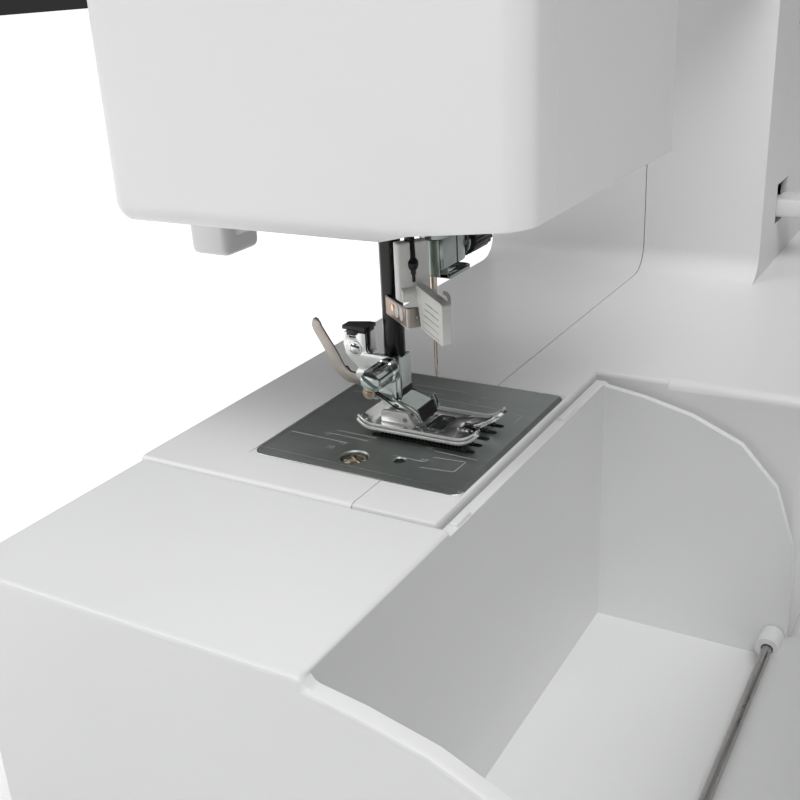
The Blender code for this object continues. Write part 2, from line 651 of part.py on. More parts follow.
def bobbin_case():
    case = turned(
        [(0, 0), (10.8, 0), (10.8, 12.3), (10.1, 12.3), (10.1, 1.5), (2.4, 1.5), (2.4, 12.0), (0, 12.0)],
        (0, -3.3, HOOK_Z), (0, 1, 0), 20,
    )
    latch = box((-1.8, -5.2, HOOK_Z - 7.0), (1.8, -3.2, HOOK_Z + 7.0), 0.4)
    window = box((4.0, -1.0, HOOK_Z + 4.0), (12.0, 6.0, HOOK_Z + 12.0))
    return node("bobbin_case", union(cut(case, window), latch), "chrome")


def bobbin():
    profile = [(9.7, 9.8), (9.7, 9.0), (3.4, 9.0), (3.4, 0.8), (9.7, 0.8), (9.7, 0), (2.7, 0), (2.7, 9.8)]
    spool = turned(profile, (0, -1.5, HOOK_Z), (0, 1, 0), 16, closed=True)
    return node("bobbin", spool, "clear_plastic", (0, -1.5, HOOK_Z))


# ---------------------------------------------------------------- needle side

def needle_bar():
    bar = rod((0, 0, CLAMP_SEAT), (0, 0, 190.0), NEEDLE_BAR_R)
    return node("needle_bar", bar, "chrome", (0, 0, CLAMP_SEAT))


def needle_bar_driver():
    block = box((-5.4, -5.4, STUD_Z - 6), (6.6, 5.4, STUD_Z + 6), 0.8)
    block = union(block, rod((5, 0, STUD_Z), (10.0, 0, STUD_Z), 2.6, 16))
    block = cut(block, rod((0, 0, STUD_Z - 9), (0, 0, STUD_Z + 9), NEEDLE_BAR_R + GAP, 12))
    return node("needle_bar_driver", block, "steel", (0, 0, STUD_Z))


def needle_bar_link():
    top = STUD_Z + LINK_LENGTH
    outline = arc(0, top, 6.2, -20, 200, 8) + arc(0, STUD_Z, 5.4, 160, 380, 8)
    holes = [arc(0, top, 3.3, 0, 337.5, 15), arc(0, STUD_Z, 2.9, 0, 337.5, 15)]
    link = prism([outline] + holes, "yz", 7.0, 10.0)
    return node("needle_bar_link", link, "steel", (8.5, 0, STUD_Z))


def take_up_lever():
    """Its eye carries the thread, in front of the casing's slot."""
    eye_y, eye_z = -60.0, 178.0
    lean = math.degrees(math.atan2(eye_z - TAKE_UP_Z, eye_y - TAKE_UP_Y))
    outline = arc(TAKE_UP_Y, TAKE_UP_Z, 5.5, lean + 70, lean + 290, 8) + arc(eye_y, eye_z, 3.6,
        lean - 80, lean + 80, 6)
    holes = [arc(TAKE_UP_Y, TAKE_UP_Z, 2.8, 0, 337.5, 15), arc(eye_y, eye_z, 1.5, 0, 330, 11)]
    lever = prism([outline] + holes, "yz", 18.3, 20.7)
    return node("take_up_lever", lever, "chrome", (19.5, TAKE_UP_Y, TAKE_UP_Z))


def needle_clamp():
    """Holds the needle under its bar; the thread guide plate below it is part of the same casting."""
    clamp = box((-2.6, -3.4, 45.2), (3.2, 3.4, 57.5), 0.6, 1)
    collar = rod((0, 0, 55.0), (0, 0, 63.0), NEEDLE_BAR_R + 0.8)
    arm = box((2.0, -3.2, 46.6), (12.0, 3.0, 56.0), 0.6, 1)
    guide = prism(filleted([(2.4, -3.6, 0.0), (15.0, -3.6, 2.5), (15.0, 3.0, 2.5),
        (2.4, 3.0, 0.0)]), "xy", 43.8, 44.9)
    guide_stem = box((2.6, -2.0, 44.2), (3.2, 2.0, 50.0))
    clamp = cut(
        union(clamp, collar, arm, guide_stem, guide),
        rod((0, 0, CLAMP_SEAT - GAP), (0, 0, 65.0), NEEDLE_BAR_R + GAP),
        rod((0, 0, 44.0), (0, 0, 53.0), 1.02 + GAP, 12),
        rod((4.0 - GAP, 0, 51.0), (14.0, 0, 51.0), 1.6 + GAP, 12),
    )
    return node("needle_clamp", clamp, "chrome", (0, 0, CLAMP_SEAT))


def needle_clamp_screw():
    screw = rod((4.0, 0, 51.0), (16.0, 0, 51.0), 1.6, 12)
    knob = prism(toothed(4.7, 0.5, 12, 0.0, 51.0), "yz", 15.0, 26.0)
    return node("needle_clamp_screw", union(screw, knob), "black_plastic", (15, 0, 51.0))


def needle():
    """Shank, blade with its eye, and a point; the back of the shank is flat."""
    profile = [
        (0, 36.0), (1.02, 36.0), (1.02, 20.5), (0.62, 18.6), (0.5, 17.0), (0.42, 3.2), (0.3,
            1.2), (0.03, 0.0), (0, 0.0),
    ]
    body = turned(profile, (0, 0, 16.5), (0, 0, 1), 12)
    eye = box((-0.16, -2.0, 20.4), (0.16, 2.0, 22.0))
    flat = box((-2.0, 0.75, 38.5), (2.0, 3.0, 60.0))
    return node("needle", cut(body, eye, flat), "steel")


# ---------------------------------------------------------------- presser side

def presser_bar():
    bar = rod((0, PRESSER_Y, 14.0), (0, PRESSER_Y, 176.0), PRESSER_R)
    bar = cut(bar, box((-6.0, 0, 12.0), (6.0, PRESSER_Y - 1.1, 21.2)))
    return node("presser_bar", bar, "black_steel", (0, PRESSER_Y, 14.0))


def presser_guide():
    """The block clamped on the presser bar; the lifter's cam raises its arm."""
    block = box((-5.6, PRESSER_Y - 4.6, 108.1), (5.6, PRESSER_Y + 5.4, 118.0), 0.8, 1)
    block = union(block, box((4.0, PRESSER_Y - 1.4, 108.1), (25.0, PRESSER_Y + 5.4, 114.0), 0.8, 1))
    block = cut(block, rod((0, PRESSER_Y, 100), (0, PRESSER_Y, 125), PRESSER_R + GAP, 12))
    return node("presser_guide", block, "steel")


def presser_spring():
    turns, per_turn = 6, 10
    low, high = 119.4, 144.6
    points = []
    for k in range(turns * per_turn + 1):
        a = 2 * PI * k / per_turn
        points.append((4.4 * math.cos(a), PRESSER_Y + 4.4 * math.sin(a),
            low + (high - low) * k / (turns * per_turn)))
    return node("presser_spring", wire(points, 0.7, 0), "steel")


def presser_lifter():
    """Cam and handle in one piece: turning the handle up raises the presser bar."""
    rise = PRESSER_LIFT / LIFTER_TURN
    cam = []
    for k in range(9):
        phi = LIFTER_TURN * k / 8
        r = 8.0 + rise * phi
        cam.append((LIFTER_Y + r * math.sin(phi), LIFTER_Z + r * math.cos(phi)))
    hub = cam + arc(LIFTER_Y, LIFTER_Z, 8.0, -40, -270, 10)[:-1]
    lever = prism([hub, arc(LIFTER_Y, LIFTER_Z, 2.8, 0, 337.5, 15)], "yz", 14.0, 23.0)
    arm_line = [(20.0, 96.0), (80.0, 57.5), (88.0, 57.5), (88.0, 48.0), (77.0, 48.0), (20.0, 85.5)]
    arm_solid = prism(arm_line, "yz", 14.5, 22.5)
    handle = box((10.0, 77.0, 40.0), (27.0, 92.0, 56.0), 2.5, 3)
    return node("presser_lifter", union(lever, arm_solid, handle), "white_plastic",
        (18.5, LIFTER_Y, LIFTER_Z))


def foot_holder():
    """The ankle: an upright plate, folded forward at its foot, with a cheek on its left."""
    fold = [(9.6, 21.0), (11.0, 21.0), (11.0, 10.3), (10.7, 9.4), (5.9, 6.9), (4.0, 3.6),
        (3.0, 4.4), (4.7, 8.0), (9.2, 10.4), (9.6, 11.2)]
    plate = prism(fold, "yz", -4.2, 4.2)
    cheek = prism([(9.9, 22.4), (9.9, 9.8), (11.2, 8.4), (21.0, 8.4), (21.0, 11.6), (17.6, 13.2),
        (15.4, 22.4)], "yz", -4.2, -3.2)
    holder = union(plate, cheek)
    holder = cut(holder, rod((-8, THUMB_Y, THUMB_Z), (0, THUMB_Y, THUMB_Z), 1.5 + GAP, 12))
    return node("foot_holder", holder, "chrome", (0, PRESSER_Y, 14.0))


def holder_screw():
    """The slotted thumb screw that clamps the ankle to the presser bar."""
    profile = [(0, 10.8), (2.4, 10.8), (3.3, 10.0), (3.3, 0.0), (1.5, 0.0), (1.5, -3.2), (0, -3.2)]
    screw = turned(profile, (-6.4, THUMB_Y, THUMB_Z), (-1, 0, 0))
    slot = box((-19.0, THUMB_Y - 4, THUMB_Z - 0.45), (-16.2, THUMB_Y + 4, THUMB_Z + 0.45))
    turn_about(slot, math.radians(35), "X", (-17.0, THUMB_Y, THUMB_Z))
    return node("holder_screw", cut(screw, slot), "chrome", (-6.4, THUMB_Y, THUMB_Z))


def holder_bracket():
    """The hook-shaped plate clamped under the thumb screw, with its folded box behind the bar."""
    left = [
        (25.6, 28.2), (24.0, 28.2), (24.0, 26.6), (21.6, 26.6), (21.6, 28.4), (18.6, 28.4), (18.6, 22.6),
        (14.5, 22.8), (11.0, 22.4), (8.9, 20.4), (8.9, 17.4), (10.8, 15.4), (14.0, 14.6), (18.0, 13.2),
        (20.6, 13.3), (22.4, 15.7), (21.4, 17.4), (22.5, 19.0), (25.2, 21.4), (25.8, 24.0),
    ]
    plate = prism([left, arc(THUMB_Y, THUMB_Z, 1.8, 0, 330, 11)], "yz", -6.1, -5.1)
    wall = box((-5.6, 18.6, 21.6), (-0.6, 19.6, 28.4))
    rivet = rod((-6.6, 22.1, 24.2), (-5.5, 22.1, 24.2), 1.4, 12)
    cap = prism([(-6.4, 26.0), (-6.4, 18.2), (-0.4, 18.2), (-0.4, 20.2), (-2.6, 26.0)], "xy", 28.2, 29.9)
    return node("holder_bracket", union(plate, wall, rivet, cap), "chrome")


def release_lever():
    """Pressing its curled tail frees the foot from the holder."""
    outer = [(36.9, 30.2), (36.2, 27.0), (33.8, 23.4), (31.8, 19.2), (29.6, 15.4), (26.6, 13.0),
        (23.0, 12.6), (21.6, 10.3)]
    tab = arc(19.8, 10.3, 1.9, 0, -220, 6)
    inner = [(20.4, 13.6), (22.2, 15.2), (25.6, 15.4), (28.6, 18.0), (30.2, 21.4), (32.2, 25.0),
        (34.2, 28.4), (35.2, 30.6), (36.2, 31.0)]
    lever = prism(outer + tab + inner, "yz", -4.95, -4.5)
    pin = rod((-5.6, 19.8, 10.3), (-4.7, 19.8, 10.3), 1.2, 12)
    return node("release_lever", union(lever, pin), "steel", (-4.7, 19.8, 10.3))


def foot_blank():
    """The foot's sole seen from the side: flat under the needle, curled up at toe and heel."""
    under = [(20.6, 4.0), (18.6, 2.2), (17.0, 1.5), (-9.6, 1.5), (-12.0, 2.2), (-14.4, 4.4), (-16.3, 7.9)]
    top = [(-15.1, 8.3), (-13.2, 5.2), (-11.6, 3.8), (-9.4, 2.9), (16.6, 2.9), (18.2, 3.5), (20.6, 5.4)]
    return prism(under + top, "yz", -10.0, 10.0)


def presser_foot():
    """A zigzag foot: two toes, a wide needle slot, and the housing that the holder snaps on to."""
    foot = foot_blank()
    housing = prism([(15.6, 2.0), (15.6, 6.3), (6.6, 6.3), (4.8, 2.0)], "yz", -5.6, 5.6)
    foot = union(foot, housing)
    toe_gap = [(-1.8, -20.0), (-1.8, -9.0), (-1.2, -6.4), (1.2, -6.4), (1.8, -9.0), (1.8, -20.0)]
    heel_gap = [(-5.2, 30.0), (-5.2, 16.2), (5.2, 16.2), (5.2, 30.0)]
    foot = cut(
        foot,
        prism(filleted([(-4.7, -2.7, 1.2), (4.9, -2.7, 1.2), (4.9, 2.5, 1.2), (-4.7, 2.5, 1.2)], 2),
            "xy", -2.0, 4.2),
        prism(toe_gap, "xy", -2.0, 12.0),
        prism(heel_gap, "xy", -2.0, 12.0),
        box((-4.6, 2.6, 2.9), (4.6, 20.0, 9.0)),
    )
    pin = rod((-5.0, 8.2, 4.2), (5.0, 8.2, 4.2), 0.8, 12)
    return node("presser_foot", union(foot, pin), "chrome", (0, 8.2, 4.2))


# ---------------------------------------------------------------- threader

def threader_place(obj):
    """Turns a piece drawn square at the origin into the threader's stand and puts it on its shaft."""
    obj.data.transform(Matrix.Translation((THREADER_X, THREADER_Y,
        0)) @ Matrix.Rotation(THREADER_TURN, 4, "Z"))
    return obj


def threader_shaft():
    shaft = rod((THREADER_X, THREADER_Y, 52.0), (THREADER_X, THREADER_Y, 132.0), 1.4, 16)
    return node("threader_shaft", shaft, "black_steel", (THREADER_X, THREADER_Y, 52.0))


def threader_carriage():
    """White carriage with its keyhole slot and the ribbed thumb tab that pulls it down."""
    body = box((-4.7, -2.0, 40.6), (4.1, 1.5, 56.0), 0.5, 1)
    tab_side = [(-1.0, 44.4), (-3.0, 38.6), (-5.0, 33.6), (-15.4, 33.0), (-15.4, 44.2)]
    tab = prism(tab_side, "yz", 0.2, 2.2)
    keyhole = box((-0.75, -4.0, 47.3), (0.75, 0.0, 60.0))
    carriage = cut(union(body, tab), keyhole, rod((0, 0, 50.0), (0, 0, 60.0), 1.4 + GAP, 16))
    return node("threader_carriage", threader_place(carriage), "white_plastic",
        (THREADER_X, THREADER_Y, 40.6))


def threader_hook():
    """Steel clip round the carriage's foot, with the hook arm that reaches towards the needle's eye."""
    clip = box((-2.3, -2.6, 34.4), (3.4, 8.6, 39.9), 0.4, 1)
    clip = cut(clip, box((-1.7, -2.0, 30.0), (2.8, 10.0, 39.4)))
    arm = box((2.9, -1.0, 35.2), (3.4, 1.0, 38.0))
    hook = union(clip, arm)
    return node("threader_hook", threader_place(hook), "steel", (THREADER_X, THREADER_Y, 40.6))


# ---------------------------------------------------------------- plate and feed

def feed_slots():
    """(x, front y, rear y) of each opening that a feed bar rises through."""
    slots = []
    for x in FEED_ROWS:
        if x in (FEED_ROWS[0], FEED_ROWS[-1]):
            slots.append((x, FEED_FRONT, FEED_REAR))
        else:
            slots.append((x, FEED_FRONT, -NEEDLE_GAP))
            slots.append((x, NEEDLE_GAP, FEED_REAR))
    return slots


def needle_plate():
    corners = [(PLATE_X0, PLATE_Y0, 2.6), (PLATE_X1, PLATE_Y0, 2.6), (PLATE_X1, PLATE_Y1, 3.0),
        (PLATE_X0, PLATE_Y1, 3.0)]
    holes = [
        filleted([(x - FEED_SLOT_HALF, y0, 0.8), (x + FEED_SLOT_HALF, y0, 0.8),
            (x + FEED_SLOT_HALF, y1, 0.8), (x - FEED_SLOT_HALF, y1, 0.8)], 1)
        for x, y0, y1 in feed_slots()
    ]
    holes.append(filleted([(-5.0, -1.5, 1.4), (5.0, -1.5, 1.4), (5.0, 1.5, 1.4), (-5.0, 1.5, 1.4)], 2))
    holes.append(arc(-24.0, 13.6, 3.8, 0, 337.5, 15))
    holes.append(arc(-20.8, 1.5, 1.7, 0, 330, 11))
    plate = prism([filleted(corners, 4)] + holes, "xy", -PLATE_THICK, 0.0)
    return node("needle_plate", plate, "plate_steel")


def plate_screw():
    profile = [(0, 0), (3.5, 0), (3.1, -1.3), (1.6, -1.5), (1.6, -8.0), (0, -8.0)]
    screw = turned(profile, (-24.0, 13.6, -0.25), (0, 0, 1), 20)
    return node("plate_screw", cut(screw, box((-28, 13.1, -0.9), (-20, 14.1, 1.0))), "chrome")


def feed_dog():
    """The toothed bars that carry the fabric, rising from one casting under the plate."""
    dog = box((-11.5, -13.0, -6.4), (12.5, 26.0, -3.6))
    bars = []
    for x, y0, y1 in feed_slots():
        front, rear = y0 + FEED_STROKE + 0.5, y1 - FEED_STROKE - 0.5
        teeth = int((rear - front) / TOOTH)
        pitch = (rear - front) / teeth
        outline = [(front, -4.4)]
        for k in range(teeth):
            outline += [(front + pitch * k, FEED_TOP - 0.7), (front + pitch * (k + 0.75), FEED_TOP)]
        outline += [(rear, FEED_TOP - 0.7), (rear, -4.4)]
        bars.append(prism(outline, "yz", x - FEED_BAR_HALF, x + FEED_BAR_HALF))
    dog = union(dog, *bars)
    needle_room = box((-6.0, -3.2, -8.0), (6.9, 3.2, -2.0))
    return node("feed_dog", cut(dog, needle_room), "steel", (0, 22, -5.0))


def feed_carrier():
    carrier = box((-25.0, 23.0, -14.2), (25.0, 31.0, -10.3), 0.6, 1)
    return node("feed_carrier", carrier, "aluminium")


# ---------------------------------------------------------------- controls

def dial(name, x, z, radius, depth):
    """A grooved knob on the pillar's front, turning about y."""
    face = ARM_FRONT - GAP
    knob = prism(toothed(radius, 0.7, 14, x, z), "xz", face - depth, face)
    marker = box((x - 0.6, face - depth - 0.6, z + radius * 0.35),
        (x + 0.6, face - depth + 1.0, z + radius * 0.85))
    return node(name, union(knob, marker), "grey_plastic", (x, face, z))


def reverse_lever():
    pivot_y, pivot_z = ARM_FRONT + 6.0, 24.0
    paddle = box((206.0, ARM_FRONT - 12.0, 18.5), (224.0, ARM_FRONT + 2.0, 26.0), 2.0, 2)
    stem = box((212.0, ARM_FRONT, 20.5), (218.0, pivot_y + 4, 25.5), 0.5)
    lever = union(paddle, stem)
    lever = cut(lever, rod((200, pivot_y, pivot_z - 1), (230, pivot_y, pivot_z - 1), 1.5 + GAP, 12))
    return node("reverse_lever", lever, "white_plastic", (215, pivot_y, pivot_z - 1))


def tension_dial():
    y = ARM_FRONT + 4.0
    wheel = prism(toothed(10.0, 0.6, 14, 30.0, 188.0), "xz", ARM_FRONT - 5.0, y)
    return node("tension_dial", wheel, "grey_plastic", (30.0, ARM_FRONT, 188.0))


def spool_pin():
    pin = rod((60.0, 55.0, ARM_TOP + 9), (8.0, 55.0, ARM_TOP + 9), 2.4, 16)
    base = box((56.0, 48.0, ARM_TOP + GAP), (66.0, 62.0, ARM_TOP + 14), 1.0)
    return node("spool_pin", union(base, pin), "white_plastic")


def bobbin_winder():
    spindle = turned(
        [(0, 30.0), (2.2, 29.0), (2.7, 26.0), (2.7, 13.5), (9.0, 13.5), (9.0, 12.0), (3.4, 11.0),
            (3.4, 0), (0, 0)],
        (256.0, 22.0, ARM_TOP - 10.5), (0, 0, 1), 20,
    )
    return node("bobbin_winder", spindle, "white_plastic", (256.0, 22.0, ARM_TOP))


# ---------------------------------------------------------------- extension table

def cover_outline(thickness):
    """The compartment cover in section: over the top, round the front, down to its pivot."""
    outer = list(COVER_LINE) + [(-88.0, -78.0)]
    inner = []
    for i, (y, z) in enumerate(outer):
        before = Vector(outer[max(i - 1, 0)])
        after = Vector(outer[min(i + 1, len(outer) - 1)])
        along = (after - before).normalized()
        inner.append((y - along.y * thickness, z + along.x * thickness))
    return outer + inner[::-1]


def table_outline(rear, rear_top):
    """The extension table in section, with the cover's line as its front."""
    return [(rear, TABLE_BOTTOM), (rear, rear_top), (-27.2, rear_top)] + list(COVER_LINE) + [(-88.0,
        TABLE_BOTTOM)]


def extension_table():
    front = prism(table_outline(FREE_ARM_FRONT - 0.8, -2.0), "yz", TABLE_LEFT + 2, TABLE_RIGHT)
    left = prism(table_outline(BED_REAR - 0.8, -0.2), "yz", TABLE_LEFT, FREE_ARM_LEFT - GAP)
    left = bevelled(left, 1.5, 2, 50)
    table = union(front, left)
    table = cut(
        table,
        box((TABLE_LEFT + 4, -110.0, -85.0), (TABLE_RIGHT - 2.5, -27.4, 20.0)),
        box((TABLE_LEFT + 3, -24.4, -100.0), (FREE_ARM_LEFT - 3.5, BED_REAR - 3.8, -3.2)),
        *[rod((x0, COVER_PIVOT_Y, COVER_PIVOT_Z), (x1, COVER_PIVOT_Y, COVER_PIVOT_Z), 1.5 + GAP, 16)
          for x0, x1 in ((TABLE_LEFT + 1.5, TABLE_LEFT + 6), (TABLE_RIGHT - 4, TABLE_RIGHT - 1.0))],
    )
    lugs = [box((x0, -27.2, -8.0), (x1, FREE_ARM_FRONT - 1.4, -1.0), 0.8) for x0,
        x1 in ((-44.0, -36.0), (24.0, 35.0))]
    return node("extension_table", union(table, *lugs), "white_plastic")


def cover_hinge_rod():
    rail = rod((TABLE_LEFT + 1.8, COVER_PIVOT_Y, COVER_PIVOT_Z),
        (TABLE_RIGHT - 1.3, COVER_PIVOT_Y, COVER_PIVOT_Z), 1.5, 16)
    return node("cover_hinge_rod", rail, "steel")


def compartment_cover():
    x0, x1 = TABLE_LEFT + 4 + GAP, TABLE_RIGHT - 2.5 - GAP
    cover = prism(cover_outline(2.2), "yz", x0, x1)
    bosses = [rod((x0, COVER_PIVOT_Y, COVER_PIVOT_Z), (x0 + 8, COVER_PIVOT_Y, COVER_PIVOT_Z), 3.6, 20),
              rod((x1 - 8, COVER_PIVOT_Y, COVER_PIVOT_Z), (x1, COVER_PIVOT_Y, COVER_PIVOT_Z), 3.6, 20)]
    cover = union(cover, *bosses)
    cover = cut(cover, rod((x0 - 7, COVER_PIVOT_Y, COVER_PIVOT_Z),
        (x1 + 7, COVER_PIVOT_Y, COVER_PIVOT_Z), 1.5 + GAP, 16))
    pivot = (0.0, COVER_PIVOT_Y, COVER_PIVOT_Z)
    turn_about(cover, COVER_OPEN, "X", pivot)
    return node("compartment_cover", cover, "white_plastic", pivot)


# ---------------------------------------------------------------- assembly

def build_casing():
    for make in (
        front_shell, rear_shell, face_cover, base_plate, rubber_feet, shuttle_cover, shell_screw,
        inlet_socket, power_switch, carry_handle, cast_frame, extension_table, cover_hinge_rod,
        compartment_cover,
    ):
        make()


def build_drive():
    handwheel()
    upper_shaft()
    needle_crank()
    pulley("upper_timing_pulley", TIMING_X0, TIMING_X1, UPPER_Y, UPPER_Z, TIMING_R, 14, SHAFT_R)
    pulley("lower_timing_pulley", TIMING_X0, TIMING_X1, LOWER_Y, LOWER_Z, TIMING_R, 14, SHAFT_R)
    belt("timing_belt", TIMING_X0 + 0.5, TIMING_X1 - 0.5, (UPPER_Y, UPPER_Z), TIMING_R,
        (LOWER_Y, LOWER_Z), TIMING_R)
    belt("motor_belt", DRIVE_X0 + 0.5, DRIVE_X1 - 0.5, (UPPER_Y, UPPER_Z), DRIVE_R,
        (MOTOR_Y, MOTOR_Z), MOTOR_PULLEY_R)
    for make in (drive_motor, motor_pulley, lower_shaft, rotary_hook, bobbin_case, bobbin):
        make()


def build_head():
    for make in (
        needle_bar, needle_bar_driver, needle_bar_link, take_up_lever, needle_clamp, needle_clamp_screw, needle,
        presser_bar, presser_guide, presser_spring, presser_lifter, foot_holder, holder_screw, holder_bracket,
        release_lever, presser_foot, threader_shaft, threader_carriage, threader_hook, needle_bar_bush,
    ):
        make()


def build_feed_and_controls():
    for make in (
        needle_plate, plate_screw, feed_dog, feed_carrier, reverse_lever, tension_dial, spool_pin,
        bobbin_winder,
    ):
        make()
    dial("stitch_dial", 233.0, 150.0, 20.0, 9.0)
    dial("length_dial", 233.0, 105.0, 13.0, 9.0)


def main():
    for obj in list(bpy.data.objects):
        bpy.data.objects.remove(obj)
    machine = bpy.data.collections.new("sewing_machine")
    bpy.context.scene.collection.children.link(machine)
    build_casing()
    build_drive()
    build_head()
    build_feed_and_controls()


main()
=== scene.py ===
"""Looks of the free-arm sewing machine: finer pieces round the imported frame, materials, light and camera."""

import json
import math

import bmesh
import bpy
from mathutils import Matrix, Vector


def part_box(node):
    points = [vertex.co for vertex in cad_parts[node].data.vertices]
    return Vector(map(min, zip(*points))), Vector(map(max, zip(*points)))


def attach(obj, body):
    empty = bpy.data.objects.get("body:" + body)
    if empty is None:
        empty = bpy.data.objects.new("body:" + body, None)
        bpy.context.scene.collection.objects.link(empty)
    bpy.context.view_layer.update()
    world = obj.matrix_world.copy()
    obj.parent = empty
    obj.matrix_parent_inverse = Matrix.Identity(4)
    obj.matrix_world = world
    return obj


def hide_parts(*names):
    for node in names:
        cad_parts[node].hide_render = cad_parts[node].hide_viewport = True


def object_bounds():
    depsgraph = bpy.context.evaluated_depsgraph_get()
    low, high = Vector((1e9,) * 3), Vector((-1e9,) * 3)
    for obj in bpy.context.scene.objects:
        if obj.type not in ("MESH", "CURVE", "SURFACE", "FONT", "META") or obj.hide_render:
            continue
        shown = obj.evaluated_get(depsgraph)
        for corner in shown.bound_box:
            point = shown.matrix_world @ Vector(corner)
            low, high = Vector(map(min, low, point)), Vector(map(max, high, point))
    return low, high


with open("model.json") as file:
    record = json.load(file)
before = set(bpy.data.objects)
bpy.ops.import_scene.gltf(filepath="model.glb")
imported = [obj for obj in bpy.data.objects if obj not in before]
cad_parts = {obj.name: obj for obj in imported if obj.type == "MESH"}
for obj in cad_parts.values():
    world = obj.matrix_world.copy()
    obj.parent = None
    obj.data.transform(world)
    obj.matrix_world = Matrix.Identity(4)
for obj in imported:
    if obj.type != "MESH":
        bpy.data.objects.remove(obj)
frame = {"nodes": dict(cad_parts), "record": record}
cad_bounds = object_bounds()

# Places below are millimetres from the needle's point on the plate: x right, y back, z up.
MM = 0.001
needle_low, needle_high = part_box("needle")
PLATE_LOW, PLATE_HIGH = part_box("needle_plate")
ORIGIN = Vector(((needle_low.x + needle_high.x) / 2, (needle_low.y + needle_high.y) / 2, PLATE_HIGH.z))


def node_box(name):
    """A CAD node's corners in millimetres from the needle's point."""
    low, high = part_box(name)
    return (low - ORIGIN) / MM, (high - ORIGIN) / MM


# ---------------------------------------------------------------- shapes

def new_object(name, data):
    obj = bpy.data.objects.new(name, data)
    bpy.context.scene.collection.objects.link(obj)
    return obj


def from_bmesh(bm):
    mesh = bpy.data.meshes.new("solid")
    bmesh.ops.recalc_face_normals(bm, faces=bm.faces)
    bm.to_mesh(mesh)
    bm.free()
    return new_object("solid", mesh)


def baked(obj):
    """The object again as a plain welded mesh, its modifiers applied."""
    bpy.context.view_layer.update()
    evaluated = obj.evaluated_get(bpy.context.evaluated_depsgraph_get())
    mesh = bpy.data.meshes.new_from_object(evaluated)
    mesh.transform(obj.matrix_world)
    bpy.data.objects.remove(obj)
    bm = bmesh.new()
    bm.from_mesh(mesh)
    bmesh.ops.remove_doubles(bm, verts=bm.verts, dist=1e-4)
    bmesh.ops.dissolve_degenerate(bm, edges=bm.edges, dist=1e-5)
    bpy.data.meshes.remove(mesh)
    return from_bmesh(bm)


def bevelled(obj, width, segments=3, angle=32.0):
    rounding = obj.modifiers.new("edges", "BEVEL")
    rounding.width = width
    rounding.segments = segments
    rounding.limit_method = "ANGLE"
    rounding.angle_limit = math.radians(angle)
    rounding.use_clamp_overlap = True
    return baked(obj)


def box(low, high, bevel=0.0, segments=3):
    bm = bmesh.new()
    size = Vector(high) - Vector(low)
    middle = (Vector(high) + Vector(low)) / 2
    bmesh.ops.create_cube(bm, size=1.0, matrix=Matrix.Translation(middle) @ Matrix.Diagonal(size.to_4d()))
    obj = from_bmesh(bm)
    return bevelled(obj, bevel, segments) if bevel else obj


def rod(start, end, radius, sides=40, end_radius=None):
    start, end = Vector(start), Vector(end)
    turn = (end - start).to_track_quat("Z", "Y").to_matrix().to_4x4()
    bm = bmesh.new()
    bmesh.ops.create_cone(
        bm, cap_ends=True, segments=sides, radius1=radius,
        radius2=radius if end_radius is None else end_radius, depth=(end - start).length,
        matrix=Matrix.Translation((start + end) / 2) @ turn,
    )
    return from_bmesh(bm)


def turned(profile, base, direction, sides=56):
    """A profile of (radius, distance along the axis), turned about an axis from base."""
    mesh = bpy.data.meshes.new("profile")
    mesh.from_pydata([(r, 0.0, a) for r, a in profile], [(i, i + 1) for i in range(len(profile) - 1)], [])
    obj = new_object("turned", mesh)
    obj.rotation_mode = "QUATERNION"
    obj.rotation_quaternion = Vector(direction).to_track_quat("Z", "Y")
    obj.location = base
    screw = obj.modifiers.new("turn", "SCREW")
    screw.axis = "Z"
    screw.steps = screw.render_steps = sides
    screw.use_merge_vertices = True
    screw.merge_threshold = 0.0001
    return baked(obj)


def prism(outlines, plane, low, high):
    """One flat outline, or an outline and its holes, in the plane "xy", "yz" or "xz", from low to high."""
    if not isinstance(outlines[0][0], (tuple, list)):
        outlines = [outlines]
    curve = bpy.data.curves.new("outline", "CURVE")
    curve.dimensions = "2D"
    curve.fill_mode = "BOTH"
    curve.extrude = (high - low) / 2
    for outline in outlines:
        spline = curve.splines.new("POLY")
        spline.points.add(len(outline) - 1)
        spline.use_cyclic_u = True
        for point, (u, v) in zip(spline.points, outline):
            point.co = (u, v, 0.0, 1.0)
    obj = new_object("prism", curve)
    middle = (low + high) / 2
    columns = {
        "xy": ((1, 0, 0), (0, 1, 0), (0, 0, 1), (0, 0, middle)),
        "yz": ((0, 1, 0), (0, 0, 1), (1, 0, 0), (middle, 0, 0)),
        "xz": ((1, 0, 0), (0, 0, 1), (0, -1, 0), (0, middle, 0)),
    }[plane]
    obj.matrix_world = Matrix([[c[i] for c in columns] for i in range(3)] + [[0, 0, 0, 1]])
    return baked(obj)


def wire(points, radius, sides=4, cyclic=False):
    curve = bpy.data.curves.new("wire", "CURVE")
    curve.dimensions = "3D"
    curve.bevel_depth = radius
    curve.bevel_resolution = sides
    curve.use_fill_caps = not cyclic
    spline = curve.splines.new("POLY")
    spline.points.add(len(points) - 1)
    spline.use_cyclic_u = cyclic
    for point, place in zip(spline.points, points):
        point.co = (*place, 1.0)
    return baked(new_object("wire", curve))


def boolean(target, others, operation):
    for other in others:
        step = target.modifiers.new(operation.lower(), "BOOLEAN")
        step.operation = operation
        step.solver = "EXACT"
        step.object = other
        target = baked(target)
        bpy.data.objects.remove(other)
    return target


def union(target, *others):
    return boolean(target, others, "UNION")


def cut(target, *others):
    return boolean(target, others, "DIFFERENCE")


def together(*objects):
    """Several shapes in one mesh, touching but not welded."""
    bm = bmesh.new()
    for obj in objects:
        bm.from_mesh(obj.data)
        bpy.data.objects.remove(obj)
    return from_bmesh(bm)


